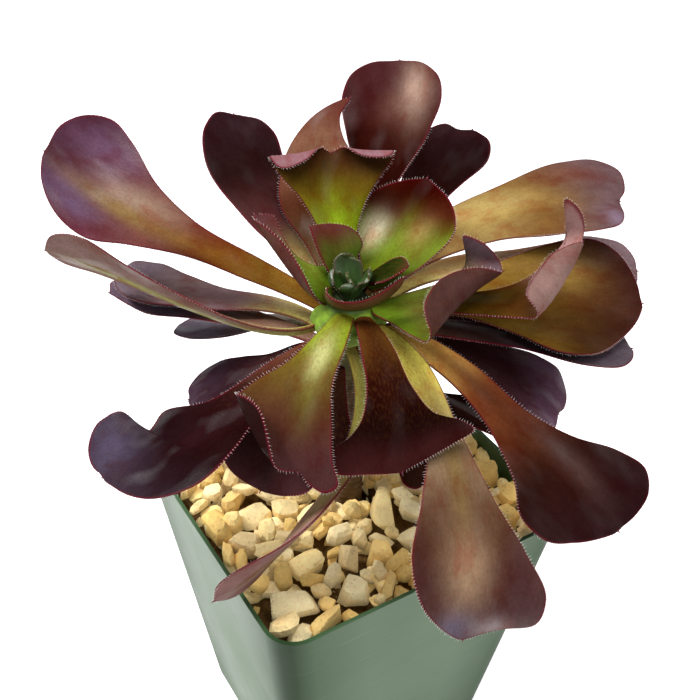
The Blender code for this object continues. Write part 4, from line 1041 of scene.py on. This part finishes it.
# The camera: lens in millimetres, place in metres, and its bearing, its fall and its roll in degrees.
CAMERA_LENS, CAMERA_PLACE = 54.0, (-0.1133, -0.1822, 0.2979)
CAMERA_BEARING, CAMERA_FALL, CAMERA_ROLL = -32.015, 36.604, 1.306


def pot_copy(material):
    """The frame's pot with its triangles joined, smooth walls and softly rounded lip."""
    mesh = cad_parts["pot"].data.copy()
    mesh.name = "pot_shell"
    piece = bpy.data.objects.new("pot_shell", mesh)
    bpy.context.scene.collection.objects.link(piece)
    shape = bmesh.new()
    shape.from_mesh(mesh)
    bmesh.ops.remove_doubles(shape, verts=shape.verts, dist=0.00001)
    bmesh.ops.dissolve_limit(shape, angle_limit=math.radians(1.0), verts=shape.verts, edges=shape.edges)
    shape.to_mesh(mesh)
    shape.free()
    mesh.materials.clear()
    mesh.materials.append(material)
    mesh.shade_smooth()
    mesh.set_sharp_from_angle(angle=math.radians(35.0))
    soften = piece.modifiers.new("soft_lip", "BEVEL")
    soften.width = 0.35 * MM
    soften.segments = 3
    soften.limit_method = "ANGLE"
    soften.angle_limit = math.radians(50.0)
    return piece


def add_floor(material):
    """A wide flat sweep under the pot."""
    corners = np.array([[-1.0, -1.0, 0.0], [1.0, -1.0, 0.0], [1.0, 1.0, 0.0], [-1.0, 1.0, 0.0]])
    floor = new_piece("floor_sweep", corners * FLOOR_HALF, [[0, 1, 2, 3]], [material])


def add_light(name, bearing, climb, distance, size, power):
    """A square soft light that faces the rosette from a bearing and height."""
    bearing, climb = math.radians(bearing), math.radians(climb)
    level = math.cos(climb)
    way = Vector((math.cos(bearing) * level, math.sin(bearing) * level, math.sin(climb)))
    data = bpy.data.lights.new(name, "AREA")
    data.size = size
    data.energy = power
    light = bpy.data.objects.new(name, data)
    light.location = Vector((0.0, 0.0, LIT_HEIGHT)) + way * distance
    light.rotation_euler = (-way).to_track_quat("-Z", "Y").to_euler()
    bpy.context.scene.collection.objects.link(light)


def add_camera():
    """The view from above the pot's near corner: turned to its bearing, tipped down, then rolled."""
    data = bpy.data.cameras.new("view_camera")
    data.lens = CAMERA_LENS
    data.sensor_width = 36.0
    data.clip_start = 0.01
    camera = bpy.data.objects.new("view_camera", data)
    turn = Matrix.Rotation(math.radians(CAMERA_BEARING), 4, "Z")
    turn = turn @ Matrix.Rotation(math.radians(90.0 - CAMERA_FALL), 4, "X")
    turn = turn @ Matrix.Rotation(math.radians(CAMERA_ROLL), 4, "Z")
    camera.matrix_world = Matrix.Translation(Vector(CAMERA_PLACE)) @ turn
    bpy.context.scene.collection.objects.link(camera)
    bpy.context.scene.camera = camera


def set_world():
    """Even white light from all round."""
    world = bpy.data.worlds.new("white_room")
    world.use_nodes = True
    background = world.node_tree.nodes["Background"]
    background.inputs["Color"].default_value = WHITE
    background.inputs["Strength"].default_value = ROOM_LIGHT
    bpy.context.scene.world = world


def place_piece(piece, slot, *nodes):
    """Fix a piece to the frame and hide the nodes it stands for; its finish's name, slot, is not used."""
    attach(piece, "root")
    if nodes:
        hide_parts(*nodes)


def build_leaves(hair):
    """The leaves with their hairs, in the finish of the inner or the outer ones."""
    inner_skin = leaf_material("leaf_inner_skin", 0.25, 0.36, 0.08)
    outer_skin = leaf_material("leaf_outer_skin", 0.35, 0.34, 0.13)
    for number, (name, row) in enumerate(LEAVES.items()):
        inner = name.startswith(("leaf_inner", "leaf_heart"))
        piece = make_leaf(name, row, inner_skin if inner else outer_skin, hair, LEAF_SEED + number)
        place_piece(piece, "leaf_inner" if inner else "leaf_outer", name)


def build_stones():
    """The large stones and the small ones round them."""
    stone = stone_material()
    for number, (name, row) in enumerate(STONES.items()):
        place_piece(make_large_stone(name, row, stone, number), "crushed_stone", name)
    place_piece(make_fill(stone), "crushed_stone")


def build_stem_and_bud(hair):
    """The stem, and the bud's five young leaves at its top."""
    place_piece(make_stem(bark_material()), "stem_bark", "stem")
    tissue = bud_material()
    for number, (name, row) in enumerate(BUD_LEAVES.items()):
        place_piece(make_leaf(name, row, tissue, hair, BUD_SEED + number), "bud_green", "heart_bud")


def build_pot():
    """The pot, and the finish of the soil and the grit in it."""
    place_piece(pot_copy(pot_material()), "pot_plastic", "pot")
    for node, material in (("soil", soil_material()), ("gravel_bed", grit_material())):
        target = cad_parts[node]
        target.data.materials.clear()
        target.data.materials.append(material)


def build_setting():
    """Floor, light and camera."""
    add_floor(floor_material())
    set_world()
    for name, row in LIGHTS.items():
        add_light(name, *row)
    add_camera()
    bpy.context.scene.view_settings.view_transform = "Standard"


hairs = hair_material()
build_leaves(hairs)
build_stones()
build_stem_and_bud(hairs)
build_pot()
build_setting()
